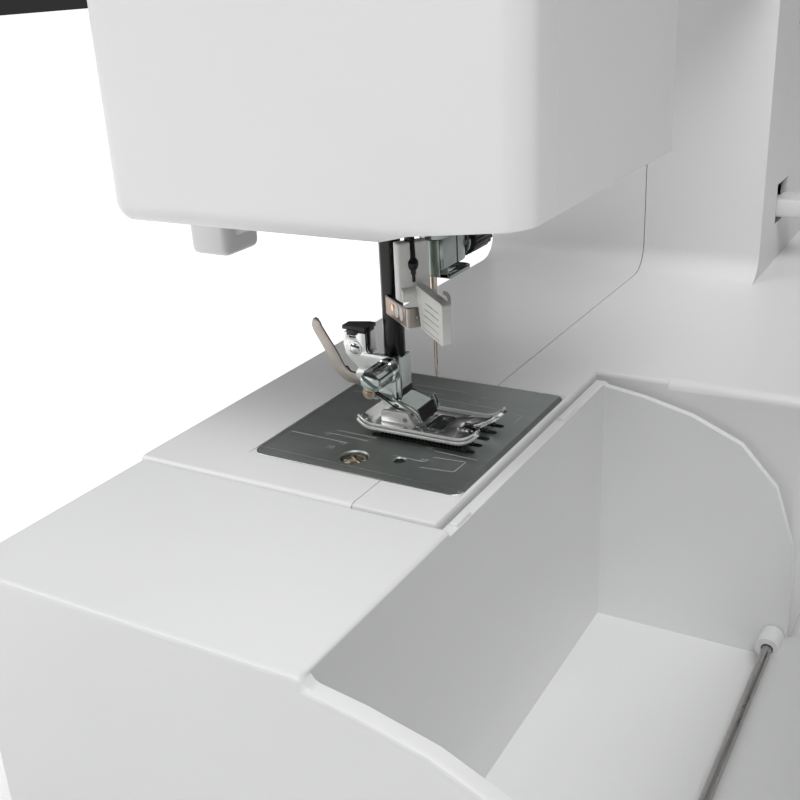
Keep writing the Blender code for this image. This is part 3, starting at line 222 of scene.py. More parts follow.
def turn_about(obj, angle, axis, point):
    point = Vector(point)
    obj.data.transform(Matrix.Translation(point) @ Matrix.Rotation(angle, 4,
        axis) @ Matrix.Translation(-point))
    return obj


def arc(cu, cv, radius, start, end, steps):
    """Points of an arc, angles in degrees."""
    angles = [math.radians(start + (end - start) * k / steps) for k in range(steps + 1)]
    return [(cu + radius * math.cos(a), cv + radius * math.sin(a)) for a in angles]


def filleted(corners, steps=6):
    """A polygon of (u, v, radius) corners with each corner rounded by an arc of its radius."""
    outline = []
    count = len(corners)
    for i, (u, v, radius) in enumerate(corners):
        here = Vector((u, v))
        before = Vector(corners[i - 1][:2]) - here
        after = Vector(corners[(i + 1) % count][:2]) - here
        if radius <= 0:
            outline.append((u, v))
            continue
        half = before.angle(after) / 2
        centre = here + (before.normalized() + after.normalized()).normalized() * (radius / math.sin(half))
        reach = radius / math.tan(half)
        first = here + before.normalized() * reach - centre
        last = here + after.normalized() * reach - centre
        sweep = first.angle_signed(last)
        for k in range(steps + 1):
            c, s = math.cos(-sweep * k / steps), math.sin(-sweep * k / steps)
            outline.append((centre.x + first.x * c - first.y * s, centre.y + first.x * s + first.y * c))
    return outline


def smooth(points, steps=5, closed=True):
    """A smooth line through the points (Catmull-Rom)."""
    count = len(points)
    result = []
    for i in range(count if closed else count - 1):
        picks = [i - 1, i, i + 1, i + 2]
        picks = [p % count for p in picks] if closed else [min(max(p, 0), count - 1) for p in picks]
        p0, p1, p2, p3 = (Vector(points[p]) for p in picks)
        for k in range(steps):
            t = k / steps
            place = 0.5 * (
                2 * p1 + (p2 - p0) * t + (2 * p0 - 5 * p1 + 4 * p2 - p3) * t * t
                + (3 * p1 - p0 - 3 * p2 + p3) * t * t * t
            )
            result.append(tuple(place))
    if not closed:
        result.append(tuple(points[-1]))
    return result


def strip(line, thickness):
    """The outline of a sheet of even thickness whose middle follows an open line."""
    left, right = [], []
    for i, (u, v) in enumerate(line):
        before, after = Vector(line[max(i - 1, 0)]), Vector(line[min(i + 1, len(line) - 1)])
        along = (after - before).normalized() * thickness / 2
        left.append((u - along.y, v + along.x))
        right.append((u + along.y, v - along.x))
    return left + right[::-1]


# ---------------------------------------------------------------- materials

MATERIALS = {}


def noise(tree, place, scale, detail, stretch):
    """A noise texture in the piece's own space, scale in features per metre."""
    mapping = tree.nodes.new("ShaderNodeMapping")
    mapping.inputs["Scale"].default_value = stretch
    texture = tree.nodes.new("ShaderNodeTexNoise")
    texture.inputs["Scale"].default_value = scale
    texture.inputs["Detail"].default_value = detail
    tree.links.new(place.outputs["Object"], mapping.inputs["Vector"])
    tree.links.new(mapping.outputs["Vector"], texture.inputs["Vector"])
    return texture


def surface(
    name, color, roughness, metallic=0.0, tint=0.05, spread=0.05, scale=60.0, stretch=(1, 1, 1),
    bump=0.0, bump_scale=1500.0, coat=0.0, transmission=0.0, specular=0.5,
):
    """A material whose colour, roughness and surface vary by noise at the scale of the real one."""
    made = bpy.data.materials.new(name)
    made.use_nodes = True
    tree = made.node_tree
    shader = tree.nodes["Principled BSDF"]
    shader.inputs["Metallic"].default_value = metallic
    shader.inputs["Coat Weight"].default_value = coat
    shader.inputs["Transmission Weight"].default_value = transmission
    shader.inputs["Specular IOR Level"].default_value = specular
    place = tree.nodes.new("ShaderNodeTexCoord")
    blotches = noise(tree, place, scale, 4.0, stretch)
    ramp = tree.nodes.new("ShaderNodeValToRGB")
    ramp.color_ramp.elements[0].position = 0.3
    ramp.color_ramp.elements[1].position = 0.7
    ramp.color_ramp.elements[0].color = (*[c * (1 - tint) for c in color], 1)
    ramp.color_ramp.elements[1].color = (*[min(c * (1 + tint), 1) for c in color], 1)
    tree.links.new(blotches.outputs["Fac"], ramp.inputs["Fac"])
    tree.links.new(ramp.outputs["Color"], shader.inputs["Base Color"])
    grain = noise(tree, place, scale * 6, 3.0, stretch)
    spreading = tree.nodes.new("ShaderNodeMapRange")
    spreading.inputs["To Min"].default_value = max(roughness - spread, 0.02)
    spreading.inputs["To Max"].default_value = roughness + spread
    tree.links.new(grain.outputs["Fac"], spreading.inputs["Value"])
    tree.links.new(spreading.outputs["Result"], shader.inputs["Roughness"])
    if bump:
        relief = noise(tree, place, bump_scale, 2.0, stretch)
        bumping = tree.nodes.new("ShaderNodeBump")
        bumping.inputs["Strength"].default_value = 1.0
        bumping.inputs["Distance"].default_value = bump
        tree.links.new(relief.outputs["Fac"], bumping.inputs["Height"])
        tree.links.new(bumping.outputs["Normal"], shader.inputs["Normal"])
    MATERIALS[name] = made
    return made


def make_materials():
    surface("white_shell", (0.74, 0.745, 0.74), 0.34, tint=0.012, spread=0.05, scale=14, bump=4e-6,
        bump_scale=2600)
    surface("table_shell", (0.74, 0.742, 0.745), 0.4, tint=0.012, spread=0.05, scale=14, bump=6e-6,
        bump_scale=2600)
    surface("warm_white", (0.80, 0.80, 0.77), 0.42, tint=0.02, spread=0.06, scale=90, bump=4e-6,
        bump_scale=4000)
    surface("clear_moulding", (0.86, 0.88, 0.88), 0.12, tint=0.01, spread=0.03, scale=60, transmission=0.7)
    surface("grey_moulding", (0.34, 0.35, 0.37), 0.5, tint=0.04, spread=0.08, scale=50, bump=1.2e-5,
        bump_scale=3000)
    surface("black_moulding", (0.012, 0.012, 0.013), 0.38, tint=0.2, spread=0.08, scale=80,
        bump=1e-5, bump_scale=3500)
    surface("rubber", (0.025, 0.025, 0.026), 0.75, tint=0.2, spread=0.08, scale=120, bump=2e-5,
        bump_scale=2500)
    surface("chrome", (0.66, 0.67, 0.66), 0.1, 1.0, tint=0.03, spread=0.03, scale=120, bump=1.5e-6,
        bump_scale=900)
    surface("soft_chrome", (0.58, 0.59, 0.58), 0.2, 1.0, tint=0.04, spread=0.06, scale=150,
        bump=2e-6, bump_scale=1500)
    surface("dark_chrome", (0.30, 0.33, 0.32), 0.16, 1.0, tint=0.1, spread=0.05, scale=150)
    surface("plate_steel", (0.35, 0.375, 0.36), 0.44, 1.0, tint=0.05, spread=0.06, scale=300,
        stretch=(1, 0.05, 1),
            bump=1.5e-6, bump_scale=2600)
    surface("steel", (0.45, 0.44, 0.42), 0.3, 1.0, tint=0.08, spread=0.08, scale=200,
        stretch=(0.2, 1, 1), bump=2e-6)
    surface("warm_steel", (0.36, 0.33, 0.30), 0.34, 1.0, tint=0.1, spread=0.08, scale=160)
    surface("copper_steel", (0.27, 0.20, 0.16), 0.3, 1.0, tint=0.12, spread=0.08, scale=300)
    surface("feed_steel", (0.045, 0.045, 0.045), 0.4, 0.8, tint=0.2, spread=0.1, scale=400)
    surface("black_steel", (0.008, 0.008, 0.008), 0.2, 0.1, tint=0.2, spread=0.05, scale=100,
        stretch=(1, 1, 0.1),
            specular=0.3)
    surface("brass", (0.62, 0.43, 0.20), 0.3, 1.0, tint=0.1, spread=0.08, scale=200)
    surface("cast_aluminium", (0.45, 0.45, 0.46), 0.55, 0.9, tint=0.06, spread=0.1, scale=120,
        bump=4e-5, bump_scale=900)
    surface("warm_chrome", (0.46, 0.40, 0.345), 0.16, 1.0, tint=0.06, spread=0.04, scale=200)
    surface("brass_nickel", (0.56, 0.50, 0.40), 0.16, 1.0, tint=0.1, spread=0.05, scale=300)
    surface("green_grey_steel", (0.34, 0.38, 0.35), 0.3, 1.0, tint=0.08, spread=0.06, scale=200)
    surface("holder_chrome", (0.50, 0.545, 0.525), 0.13, 1.0, tint=0.05, spread=0.04, scale=120)
    surface("bright_chrome", (0.84, 0.84, 0.83), 0.12, 1.0, tint=0.03, spread=0.03, scale=120)
    surface("satin_chrome", (0.88, 0.88, 0.87), 0.34, 0.75, tint=0.03, spread=0.05, scale=160)
    surface("beige_steel", (0.56, 0.51, 0.45), 0.42, 0.4, tint=0.05, spread=0.06, scale=200)
    surface("engraving", (0.50, 0.53, 0.51), 0.5, 0.2, tint=0.1, spread=0.1, scale=500)


# ---------------------------------------------------------------- pieces

BODY_OF_NODE = {n: body for body,
    members in frame["record"]["behaviour"]["bodies"].items() for n in members}


def finished(name, obj, material, sharp=34.0):
    """A shape in millimetres becomes a smooth-shaded piece in metres, with its material."""
    obj.name = obj.data.name = name
    obj.data.transform(Matrix.Translation(ORIGIN) @ Matrix.Scale(MM, 4))
    obj.data.shade_smooth()
    obj.data.set_sharp_from_angle(angle=math.radians(sharp))
    obj.data.materials.clear()
    obj.data.materials.append(MATERIALS[material])
    return obj


def piece(name, obj, material, node, sharp=34.0):
    """A finer piece that stands for a CAD node."""
    finished(name, obj, material, sharp)
    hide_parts(node)
    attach(obj, BODY_OF_NODE[node])
    return obj


def extra(name, obj, material, body, sharp=34.0):
    """A small piece that has no CAD node of its own."""
    finished(name, obj, material, sharp)
    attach(obj, body)
    return obj


def softened(node, material, width, segments=3):
    """The CAD node again with its flat faces whole and its edges rounded."""
    bm = bmesh.new()
    bm.from_mesh(frame["nodes"][node].data)
    bmesh.ops.transform(bm, matrix=Matrix.Scale(1 / MM, 4) @ Matrix.Translation(-ORIGIN), verts=bm.verts)
    bmesh.ops.remove_doubles(bm, verts=bm.verts, dist=2e-3)
    bmesh.ops.dissolve_limit(bm, angle_limit=math.radians(0.8), verts=bm.verts, edges=bm.edges)
    obj = from_bmesh(bm)
    if width:
        obj = bevelled(obj, width, segments, 40.0)
    made = piece(node + "_skin", obj, material, node)
    weighted = made.modifiers.new("even_normals", "WEIGHTED_NORMAL")
    weighted.keep_sharp = True
    return made


# ---------------------------------------------------------------- plate and feed

FEED_ROWS = (-8.8, -4.15, 0.5, 5.15, 9.8)
FEED_FRONT, FEED_REAR, NEEDLE_ROOM = -14.6, 17.0, 4.6
SCREW_X, SCREW_Y = -24.0, 13.6


def feed_slots():
    """(x, front y, rear y) of each slot that a feed bar rises through."""
    slots = []
    for x in FEED_ROWS:
        if x in (FEED_ROWS[0], FEED_ROWS[-1]):
            slots.append((x, FEED_FRONT, FEED_REAR))
        else:
            slots += [(x, FEED_FRONT, -NEEDLE_ROOM), (x, NEEDLE_ROOM, FEED_REAR)]
    return slots


def rounded_slot(x0, y0, x1, y1, radius, steps=4):
    return filleted([(x0, y0, radius), (x1, y0, radius), (x1, y1, radius), (x0, y1, radius)], steps)


def needle_plate():
    low, high = node_box("needle_plate")
    x0, y0, x1, y1 = low.x + 0.2, low.y + 0.2, high.x - 0.2, high.y - 0.2
    corners = [(x0, y0, 2.6), (x1, y0, 2.4), (x1, y1, 2.4), (x0, y1, 4.2)]
    outline = filleted(corners, 10)
    plate = bevelled(prism(outline, "xy", low.z, 0.0), 0.55, 3)
    slope = [(low.y - 1, 0.2), (low.y + 1.5, 0.2), (low.y + 1.5, -0.02), (low.y - 0.2, -1.5),
        (low.y - 1, -1.5)]
    plate = cut(plate, prism(slope, "yz", low.x - 2, high.x + 2))
    half = 1.05
    for x, front, rear in feed_slots():
        plate = cut(plate, prism(rounded_slot(x - half, front, x + half, rear, 0.9), "xy", -4.0, 2.0))
    plate = cut(
        plate,
        prism(rounded_slot(-5.0, -1.5, 5.0, 1.5, 1.45), "xy", -4.0, 2.0),
        rod((SCREW_X, SCREW_Y, -4), (SCREW_X, SCREW_Y, 2), 3.8),
        rod((SCREW_X, SCREW_Y, -0.35), (SCREW_X, SCREW_Y, 0.4), 3.8, 40, 4.55),
        rod((-20.8, 1.5, -4), (-20.8, 1.5, 2), 1.6, 28),
        rod((-20.8, 1.5, -0.3), (-20.8, 1.5, 0.3), 1.6, 28, 2.2),
    )
    piece("needle_plate_brushed", plate, "plate_steel", "needle_plate", 25.0)
    fills = []
    for (x, y, r), (sx, sy) in zip(corners, ((-1, -1), (1, -1), (1, 1), (-1, 1))):
        quarter = [(x - sx * r + sx * u, y - sy * r + sy * v) for u, v in arc(0, 0, r + 0.2, 0, 90, 8)]
        fills.append(prism([(x + sx * 0.4, y + sy * 0.4)] + quarter, "xy", -2.2, -0.06))
    extra("plate_opening_corners", together(*fills), "white_shell", "root")
    ground_edge = [(x, y, -0.22) for x, y in outline if x < low.x + 6.0]
    extra("plate_ground_edge", wire(ground_edge, 0.26, 4, True), "soft_chrome", "root")
    # Painted shade: a dark steel sheet under the plate's slots stands for the dark space round the hook below
    # the plate.
    shade_floor = box((-14, -17, -2.6), (17, 19, -1.7))
    extra("plate_painted_shade_floor", shade_floor, "feed_steel", "root")


def engraved_lines():
    """Seam guides on the plate, as thin bright strokes."""
    strokes = [
        ((-16.6, 38.9), (-17.1, 19.8)), ((-13.3, 27.7), (-13.8, 15.5)), ((-10.9, 27.3), (-11.1, 14.3)),
        ((-18.8, 4.6), (-19.2, -4.6)), ((-12.0, -4.2), (-12.6, -17.4)),
        ((-22.3, -5.5), (-21.3, -14.8)), ((-21.3, -14.8), (-14.8, -15.0)), ((-14.8, -15.0), (-15.6, -6.1)),
        ((20.7, -9.5), (18.8, -16.2)), ((18.8, -16.2), (13.4, -16.2)), ((20.7, -9.5), (20.9, 14.0)),
        ((16.6, 38.9), (16.9, 17.0)), ((24.5, 30.0), (24.7, 12.0)), ((28.5, 24.0), (28.7, 6.0)),
    ]
    marks = []
    for (x0, y0), (x1, y1) in strokes:
        along = Vector((x1 - x0, y1 - y0))
        side = Vector((-along.y, along.x)).normalized() * 0.12
        outline = [
            (x0 - side.x, y0 - side.y), (x1 - side.x, y1 - side.y),
            (x1 + side.x, y1 + side.y), (x0 + side.x, y0 + side.y),
        ]
        marks.append(prism(outline, "xy", 0.0, 0.03))
    for words, x, y in (("10", -14.6, 30.0), ("15", -18.6, 22.4), ("20", -22.0, 24.2),
            ("20", -19.0, -3.2), ("15", -12.0, -1.0),
                        ("10", 18.2, 4.0), ("15", 22.3, 2.4), ("20", 26.4, 0.6)):
        marks.append(number(words, x, y))
    extra("plate_markings", together(*marks), "engraving", "root")


def number(words, x, y, size=2.4):
    """Digits lying on the plate, read from the left end of the machine."""
    curve = bpy.data.curves.new("digits", "FONT")
    curve.body = words
    curve.size = size
    curve.extrude = 0.006
    curve.offset = -0.03
    curve.resolution_u = 3
    obj = new_object("digits", curve)
    obj.rotation_euler = (0, 0, math.radians(-90.0))
    obj.location = (x, y, 0.006)
    return baked(obj)


def feed_bars():
    """Saw-toothed bars, dark steel, on one casting."""
    pitch, tooth_depth, top, half = 1.15, 0.75, 0.8, 0.7
    bars = [box((-11.4, -12.8, -6.3), (12.4, 25.8, -4.4))]
    for x, front, rear in feed_slots():
        y0, y1 = front + 2.5, rear - 2.5
        outline = [(y0, -5.0)]
        for k in range(int((y1 - y0) / pitch)):
            outline += [(y0 + pitch * k, top - tooth_depth), (y0 + pitch * (k + 0.75), top)]
        outline += [(y1, top - tooth_depth), (y1, -5.0)]
        bars.append(prism(outline, "yz", x - half, x + half))
    piece("feed_dog_teeth", together(*bars), "feed_steel", "feed_dog", 20.0)


def plate_screw():
    low, high = node_box("plate_screw")
    profile = [(0, 0), (1.6, 0), (1.6, 6.3), (3.4, 6.5), (3.5, 7.2), (2.9, 7.75), (1.6, 8.0), (0, 8.05)]
    profile = [(r, low.z + a) for r, a in reversed(profile)]
    screw = turned(profile, (SCREW_X, SCREW_Y, 0.0), (0, 0, 1))
    slot = box((SCREW_X - 5, SCREW_Y - 0.5, high.z - 0.9), (SCREW_X + 5, SCREW_Y + 0.5, high.z + 2))
    turn_about(slot, math.radians(62.0), "Z", (SCREW_X, SCREW_Y, 0.0))
    piece("plate_screw_head", cut(screw, slot), "brass_nickel", "plate_screw")


# ---------------------------------------------------------------- presser foot and ankle

SOLE_THICK = 1.35
PIN_Y, PIN_Z = 8.2, 4.2


def sole_line():
    """Middle of the sole seen from the side: heel curl, flat, toe curl."""
    heel = arc(16.4, 2.2 + 6.4, 6.4, -42, -90, 5)
    toe = arc(-8.6, 2.2 + 8.8, 8.8, -90, -142, 8)
    return heel + toe


def presser_foot():
    low, high = node_box("presser_foot")
    line = sole_line()
    sole = prism(strip(line, SOLE_THICK), "yz", low.x + 0.3, high.x - 0.3)
    toe_gap = (
        [(-1.6, -6.6), (-1.9, -9.2)] + [(-3.4, -11.2), (-5.6, -13.2), (-7.9, -17.5)]
        + [(7.9, -17.5), (5.6, -13.2), (3.4, -11.2)] + [(1.9, -9.2), (1.6, -6.6)]
    )
    corner = [(9.9, -10.6), (9.3, -17.5), (12.0, -17.5), (12.0, -10.6)]
    sole = cut(
        sole,
        prism(rounded_slot(-4.7, -2.7, 4.9, 2.5, 1.2), "xy", -2.0, 4.4),
        prism(toe_gap, "xy", -2.0, 12.0),
        prism(corner, "xy", -2.0, 12.0),
        prism([(-u, v) for u, v in corner[::-1]], "xy", -2.0, 12.0),
        box((-4.4, 3.6, 2.3), (4.4, 16.0, 9.0)),
    )
    sole = bevelled(sole, 0.22, 2, 40.0)
    parts, rails, walls, pins = [sole], [], [], []
    for side in (-1, 1):
        for inset, lift in ((9.1, 0.8), (9.6, -0.15)):
            rails.append(wire([(side * (inset - 0.05 * max(0.0, -9.0 - y)), y, z + lift) for y,
                z in line], 0.38))
        wall = filleted([(15.8, 2.0, 0), (15.8, 6.2, 0.8), (7.4, 6.2, 0.8), (4.9, 2.0, 0)], 4)
        edge = sorted((side * 4.6, side * 5.5))
        walls.append(bevelled(prism(wall, "yz", *edge), 0.18, 2))
        pins.append(rod((side * 5.3, PIN_Y, PIN_Z), (side * 5.72, PIN_Y, PIN_Z), 0.85, 24, 0.6))
    parts.append(rod((-5.0, PIN_Y, PIN_Z), (5.0, PIN_Y, PIN_Z), 0.8, 24))
    parts.append(wire([(-1.7, -6.6, 3.1), (-1.7, -9.0, 3.1), (-3.6, -11.4, 3.6)], 0.28, 3))
    parts.append(wire([(1.7, -6.6, 3.1), (1.7, -9.0, 3.1), (3.6, -11.4, 3.6)], 0.28, 3))
    piece("presser_foot_polished", together(*parts), "bright_chrome", "presser_foot")
    body = BODY_OF_NODE["presser_foot"]
    extra("presser_foot_rails", together(*rails), "satin_chrome", body)
    extra("presser_foot_walls", together(*walls), "satin_chrome", body)
    extra("presser_foot_pin_ends", together(*pins), "plate_steel", body)


def foot_holder():
    """Upright plate, folded forward at its foot; its left cheek reaches back beside the bar."""
    fold = [
        (11.0, 20.9), (12.3, 20.9), (12.3, 9.6), (11.9, 8.6), (5.9, 6.3), (4.0, 3.4), (2.9, 4.1),
        (4.7, 7.6), (10.7, 9.6), (11.0, 10.4),
    ]
    plate = bevelled(prism(fold, "yz", -4.9, 4.2), 0.3, 3, 25.0)
    cheek_line = [
        (9.9, 22.2, 0.6), (9.9, 9.8, 0.4), (11.4, 8.4, 0.8), (21.0, 8.4, 0.6), (21.0, 11.6, 1.2),
        (17.6, 13.2, 1.0), (15.4, 22.2, 0.8),
    ]
    cheek = bevelled(prism(filleted(cheek_line, 4), "yz", -4.15, -3.2), 0.15, 2)
    nose = bevelled(prism([(6.2, 7.6), (4.2, 4.3), (3.1, 5.0), (4.9, 8.6)], "yz", 4.75, 6.4), 0.25, 2)
    # Painted reflection: two thin dark steel strips on the bend and on the nose's front stand for dark
    # reflections in the chrome there.
    bend_reflection = prism([(10.94, 11.5), (11.4, 11.5), (11.2, 9.4), (10.64, 9.56)], "yz", -4.7, 4.0)
    nose_reflection = prism([(4.60, 7.40), (2.98, 4.25), (2.88, 4.30), (4.50, 7.45)], "yz", -4.6, 3.9)
    body = BODY_OF_NODE["foot_holder"]
    extra("foot_holder_painted_reflections", together(bend_reflection, nose_reflection), "feed_steel", body)
    piece("foot_holder_polished", together(plate, cheek, nose), "holder_chrome", "foot_holder")


def holder_screw():
    low, high = node_box("holder_screw")
    y, z = (low.y + high.y) / 2, (low.z + high.z) / 2
    radius, length = (high.z - low.z) / 2, 10.8
    profile = [
        (0, length), (1.9, length - 0.1), (2.8, length - 0.6), (radius, length - 1.8), (radius,
            3.4), (radius - 0.5, 3.0),
        (radius - 0.5, 2.4), (radius, 2.0), (radius, 0.3), (radius - 0.3, 0.0), (1.5, 0.0), (1.5,
            -3.0), (0, -3.0),
    ]
    base_x = high.x - 3.2
    screw = turned(profile, (base_x, y, z), (-1, 0, 0))
    slot = box((low.x - 1, y - 4, z - 0.55), (low.x + 1.5, y + 4, z + 0.55))
    turn_about(slot, math.radians(33.0), "X", (low.x, y, z))
    piece("thumb_screw", cut(screw, slot), "holder_chrome", "holder_screw")


def holder_bracket():
    """Hook-shaped plate under the thumb screw, its folded box behind the bar, and the black cap on top."""
    top_z = node_box("holder_bracket")[1].z
    outline = [
        (25.6, 28.1, 0.3), (24.0, 28.1, 0.3), (24.0, 26.6, 0.3), (21.6, 26.6, 0.3), (21.6, 28.1,
            0.3), (18.7, 28.1, 0.2),
        (18.7, 22.4, 1.2), (14.5, 22.7, 1.5), (9.0, 22.6, 3.2), (8.9, 15.6, 2.6), (12.8, 14.4,
            1.4), (17.0, 13.3, 1.4),
        (20.9, 13.3, 1.8), (22.8, 16.0, 1.3), (21.3, 18.0, 0.9), (25.0, 21.2, 2.0), (25.8, 24.4, 1.2),
    ]
    outline = [(u + 0.5 * (v > 15.0), v, r) for u, v, r in outline]
    plate = bevelled(prism(filleted(outline, 4), "yz", -6.1, -5.15), 0.16, 2)
    wall = bevelled(prism([(-6.0, 21.8), (-0.7, 21.8), (-0.7, 28.1), (-6.0, 28.1)], "xz", 19.2,
        20.0), 0.2, 2)
    floor = box((-5.6, 18.8, 21.7), (-0.7, 23.4, 22.4), 0.2, 2)
    rivet_place = (-6.05, 22.6, 23.5)
    rivet = turned([(0, 0.75), (0.8, 0.7), (1.5, 0.35), (1.7, 0.0), (0, 0.0)], rivet_place, (-1, 0, 0), 32)
    rim = turned([(1.6, 0.28), (2.1, 0.22), (2.25, 0.0), (0, 0.0), (0, 0.2), (1.6, 0.2)],
        rivet_place, (-1, 0, 0), 32)
    piece("holder_bracket_polished", together(plate, wall, floor, rivet, rim), "soft_chrome",
        "holder_bracket")
    top = [(-6.6, 26.4, 0.5), (-6.6, 18.9, 0.4), (-4.6, 18.5, 0.3), (-4.0, 19.0, 0.2),
        (-0.5, 18.8, 0.4), (-0.5, 21.0, 0.5), (-2.6, 26.4, 0.5)]
    cap = bevelled(prism(filleted(top, 3), "xy", top_z - 0.95, top_z), 0.25, 3)
    lip = box((-6.75, 22.0, 27.4), (-5.9, 24.8, top_z - 0.8), 0.2, 2)
    riser = box((-5.9, 19.3, 28.0), (-0.8, 25.4, top_z - 0.9), 0.2, 2)
    extra("holder_cap", together(cap, lip, riser), "black_moulding", "presser_bar")


def release_lever():
    line = smooth([(19.8, 12.4), (22.6, 13.9), (26.0, 14.3), (29.0, 16.6), (31.0, 20.3),
        (33.2, 23.7), (35.5, 27.3), (36.0, 28.7)], 5, False)
    count = len(line) - 1
    left, right = [], []
    for i, (u, v) in enumerate(line):
        before, after = Vector(line[max(i - 1, 0)]), Vector(line[min(i + 1, count)])
        along = (after - before).normalized() * (1.7 - 0.45 * abs(i / count - 0.45))
        left.append((u - along.y, v + along.x))
        right.append((u + along.y, v - along.x))
    tip = [(37.1, 29.4), (36.9, 30.1), (36.2, 30.5), (35.4, 30.2)]
    blade = bevelled(prism(left + tip[::-1] + right[::-1], "yz", -4.95, -4.3), 0.14, 2)
    disc = bevelled(prism(arc(19.8, 10.3, 1.95, 0, 348, 29), "yz", -5.05, -4.3), 0.2, 3)
    extra("release_lever_disc", disc, "beige_steel", "release_lever")
    neck = box((-4.95, 18.3, 10.8), (-4.3, 21.2, 13.2), 0.1, 2)
    piece("release_lever_blade", together(blade, neck), "warm_steel", "release_lever")
    rivet = turned([(0, 0.7), (0.6, 0.66), (0.95, 0.4), (1.0, 0.0), (0, 0.0)], (-5.0, 19.8, 10.3),
        (-1, 0, 0), 28)
    extra("release_lever_pin", rivet, "brass", "release_lever")
    hair = wire(smooth([(-4.7, 27.6, 16.4), (-4.7, 26.6, 17.2), (-4.7, 25.4, 15.9),
        (-4.7, 23.4, 15.8)], 5, False), 0.22, 3)
    extra("release_spring_tail", hair, "black_steel", "release_lever")
    arm = wire(smooth([(-4.6, 18.6, 10.9), (-4.6, 15.0, 9.0), (-4.6, 12.0, 7.3), (-4.5, 10.6, 6.7)],
        5, False), 0.22, 3)
    extra("release_spring_arm", arm, "black_steel", "presser_bar")


# The bar and the needle are drawn a little beside their CAD places.
BAR_SHIFT = 1.2
NEEDLE_SHIFT = (-0.35, 0.55, -0.5)


def presser_bar():
    low, high = node_box("presser_bar")
    y = (low.y + high.y) / 2 + BAR_SHIFT
    radius = (high.x - low.x) / 2
    bar = rod((0, y, low.z), (0, y, high.z), radius, 64)
    flat_front = box((-6, y - 6, 12.0), (6, y - 1.3, 21.2))
    flat_left = box((-6, y - 6, 21.2), (-radius + 0.35, y + 6, high.z + 1))
    piece("presser_bar_black", bevelled(cut(bar, flat_front, flat_left), 0.12, 2), "black_steel",
        "presser_bar")


# ---------------------------------------------------------------- needle, clamp and threader

def needle():
    tip = node_box("needle")[0].z + NEEDLE_SHIFT[2]
    profile = [
        (0, 36.0), (0.9, 36.0), (1.02, 35.6), (1.02, 21.0), (0.95, 20.4), (0.66, 18.8), (0.55,
            17.6), (0.5, 17.0),
        (0.44, 6.0), (0.42, 3.4), (0.3, 1.5), (0.14, 0.5), (0.02, 0.0),
    ]
    body = turned(profile + [(0, 0)], (0, 0, tip), (0, 0, 1), 32)
    body = cut(
        body,
        box((-0.16, -2.0, tip + 3.9), (0.16, 2.0, tip + 5.5), 0.1, 2),
        box((-0.1, -2.0, tip + 5.5), (0.1, -0.3, tip + 17.0)),
        box((-2.0, 0.75, tip + 22.0), (2.0, 3.0, tip + 40.0)),
    )
    body.data.transform(Matrix.Translation((NEEDLE_SHIFT[0], NEEDLE_SHIFT[1], 0.0)))
    piece("needle_ground", body, "warm_chrome", "needle")


def needle_clamp():
    front = box((-2.6, -2.5, 45.2), (-1.9, 0.5, 57.4), 0.2)
    sleeve = turned([(3.9, 8.0), (3.9, 0.3), (3.6, 0.0), (0, 0.0), (0, 8.0)], (0, 0, 55.0), (0, 0, 1))
    body = box((-1.85, -3.2, 46.6), (12.0, 3.0, 56.0), 0.9)
    groove = box((6.2, -4.0, 44.0), (6.9, -2.6, 58.0))
    body = cut(body, groove)
    neck = rod((11.6, 0, 51.0), (15.4, 0, 51.0), 2.9, 40)
    washer = rod((12.6, 0, 51.0), (13.4, 0, 51.0), 3.9, 40)
    piece("needle_clamp_body", together(body, sleeve, neck, washer), "dark_chrome", "needle_clamp")
    extra("needle_clamp_front", front, "green_grey_steel", "needle_bar")
    guide_line = filleted([(1.7, -3.6, 0.3), (15.0, -3.6, 2.4), (15.0, 3.0, 2.4), (1.7, 3.0, 0.3)], 6)
    thread_slot = filleted([(5.0, -1.2, 0.6), (11.0, -1.2, 0.6), (11.0, 0.4, 0.6), (5.0, 0.4, 0.6)], 4)
    guide = bevelled(prism([guide_line, thread_slot], "xy", 43.8, 44.7), 0.2, 2)
    stem = box((1.7, -2.8, 43.9), (2.3, 2.4, 49.0), 0.15, 2)
    extra("needle_thread_guide", together(guide, stem), "dark_chrome", "needle_bar")


def knurled(radius, depth, teeth, steps, cu, cv):
    """A round outline with soft grooves."""
    outline = []
    for k in range(teeth * steps):
        a = 2 * math.pi * k / (teeth * steps)
        r = radius - depth * (0.5 - 0.5 * math.cos(teeth * a)) ** 2
        outline.append((cu + r * math.cos(a), cv + r * math.sin(a)))
    return outline


def clamp_knob():
    low, high = node_box("needle_clamp_screw")
    radius = (high.z - low.z) / 2
    z = (high.z + low.z) / 2
    knob = bevelled(prism(knurled(radius, 0.35, 20, 6, 0.0, z), "yz", 15.4, high.x), 0.3, 2, 50.0)
    screw = rod((low.x, 0, z), (16.0, 0, z), 1.5, 32)
    piece("needle_clamp_knob", together(knob, screw), "black_moulding", "needle_clamp_screw")


THREADER_X, THREADER_Y = -8.3, 2.75
THREADER_TURN = math.radians(-38.3)


def in_threader(obj):
    obj.data.transform(Matrix.Translation((THREADER_X, THREADER_Y,
        0)) @ Matrix.Rotation(THREADER_TURN, 4, "Z"))
    return obj


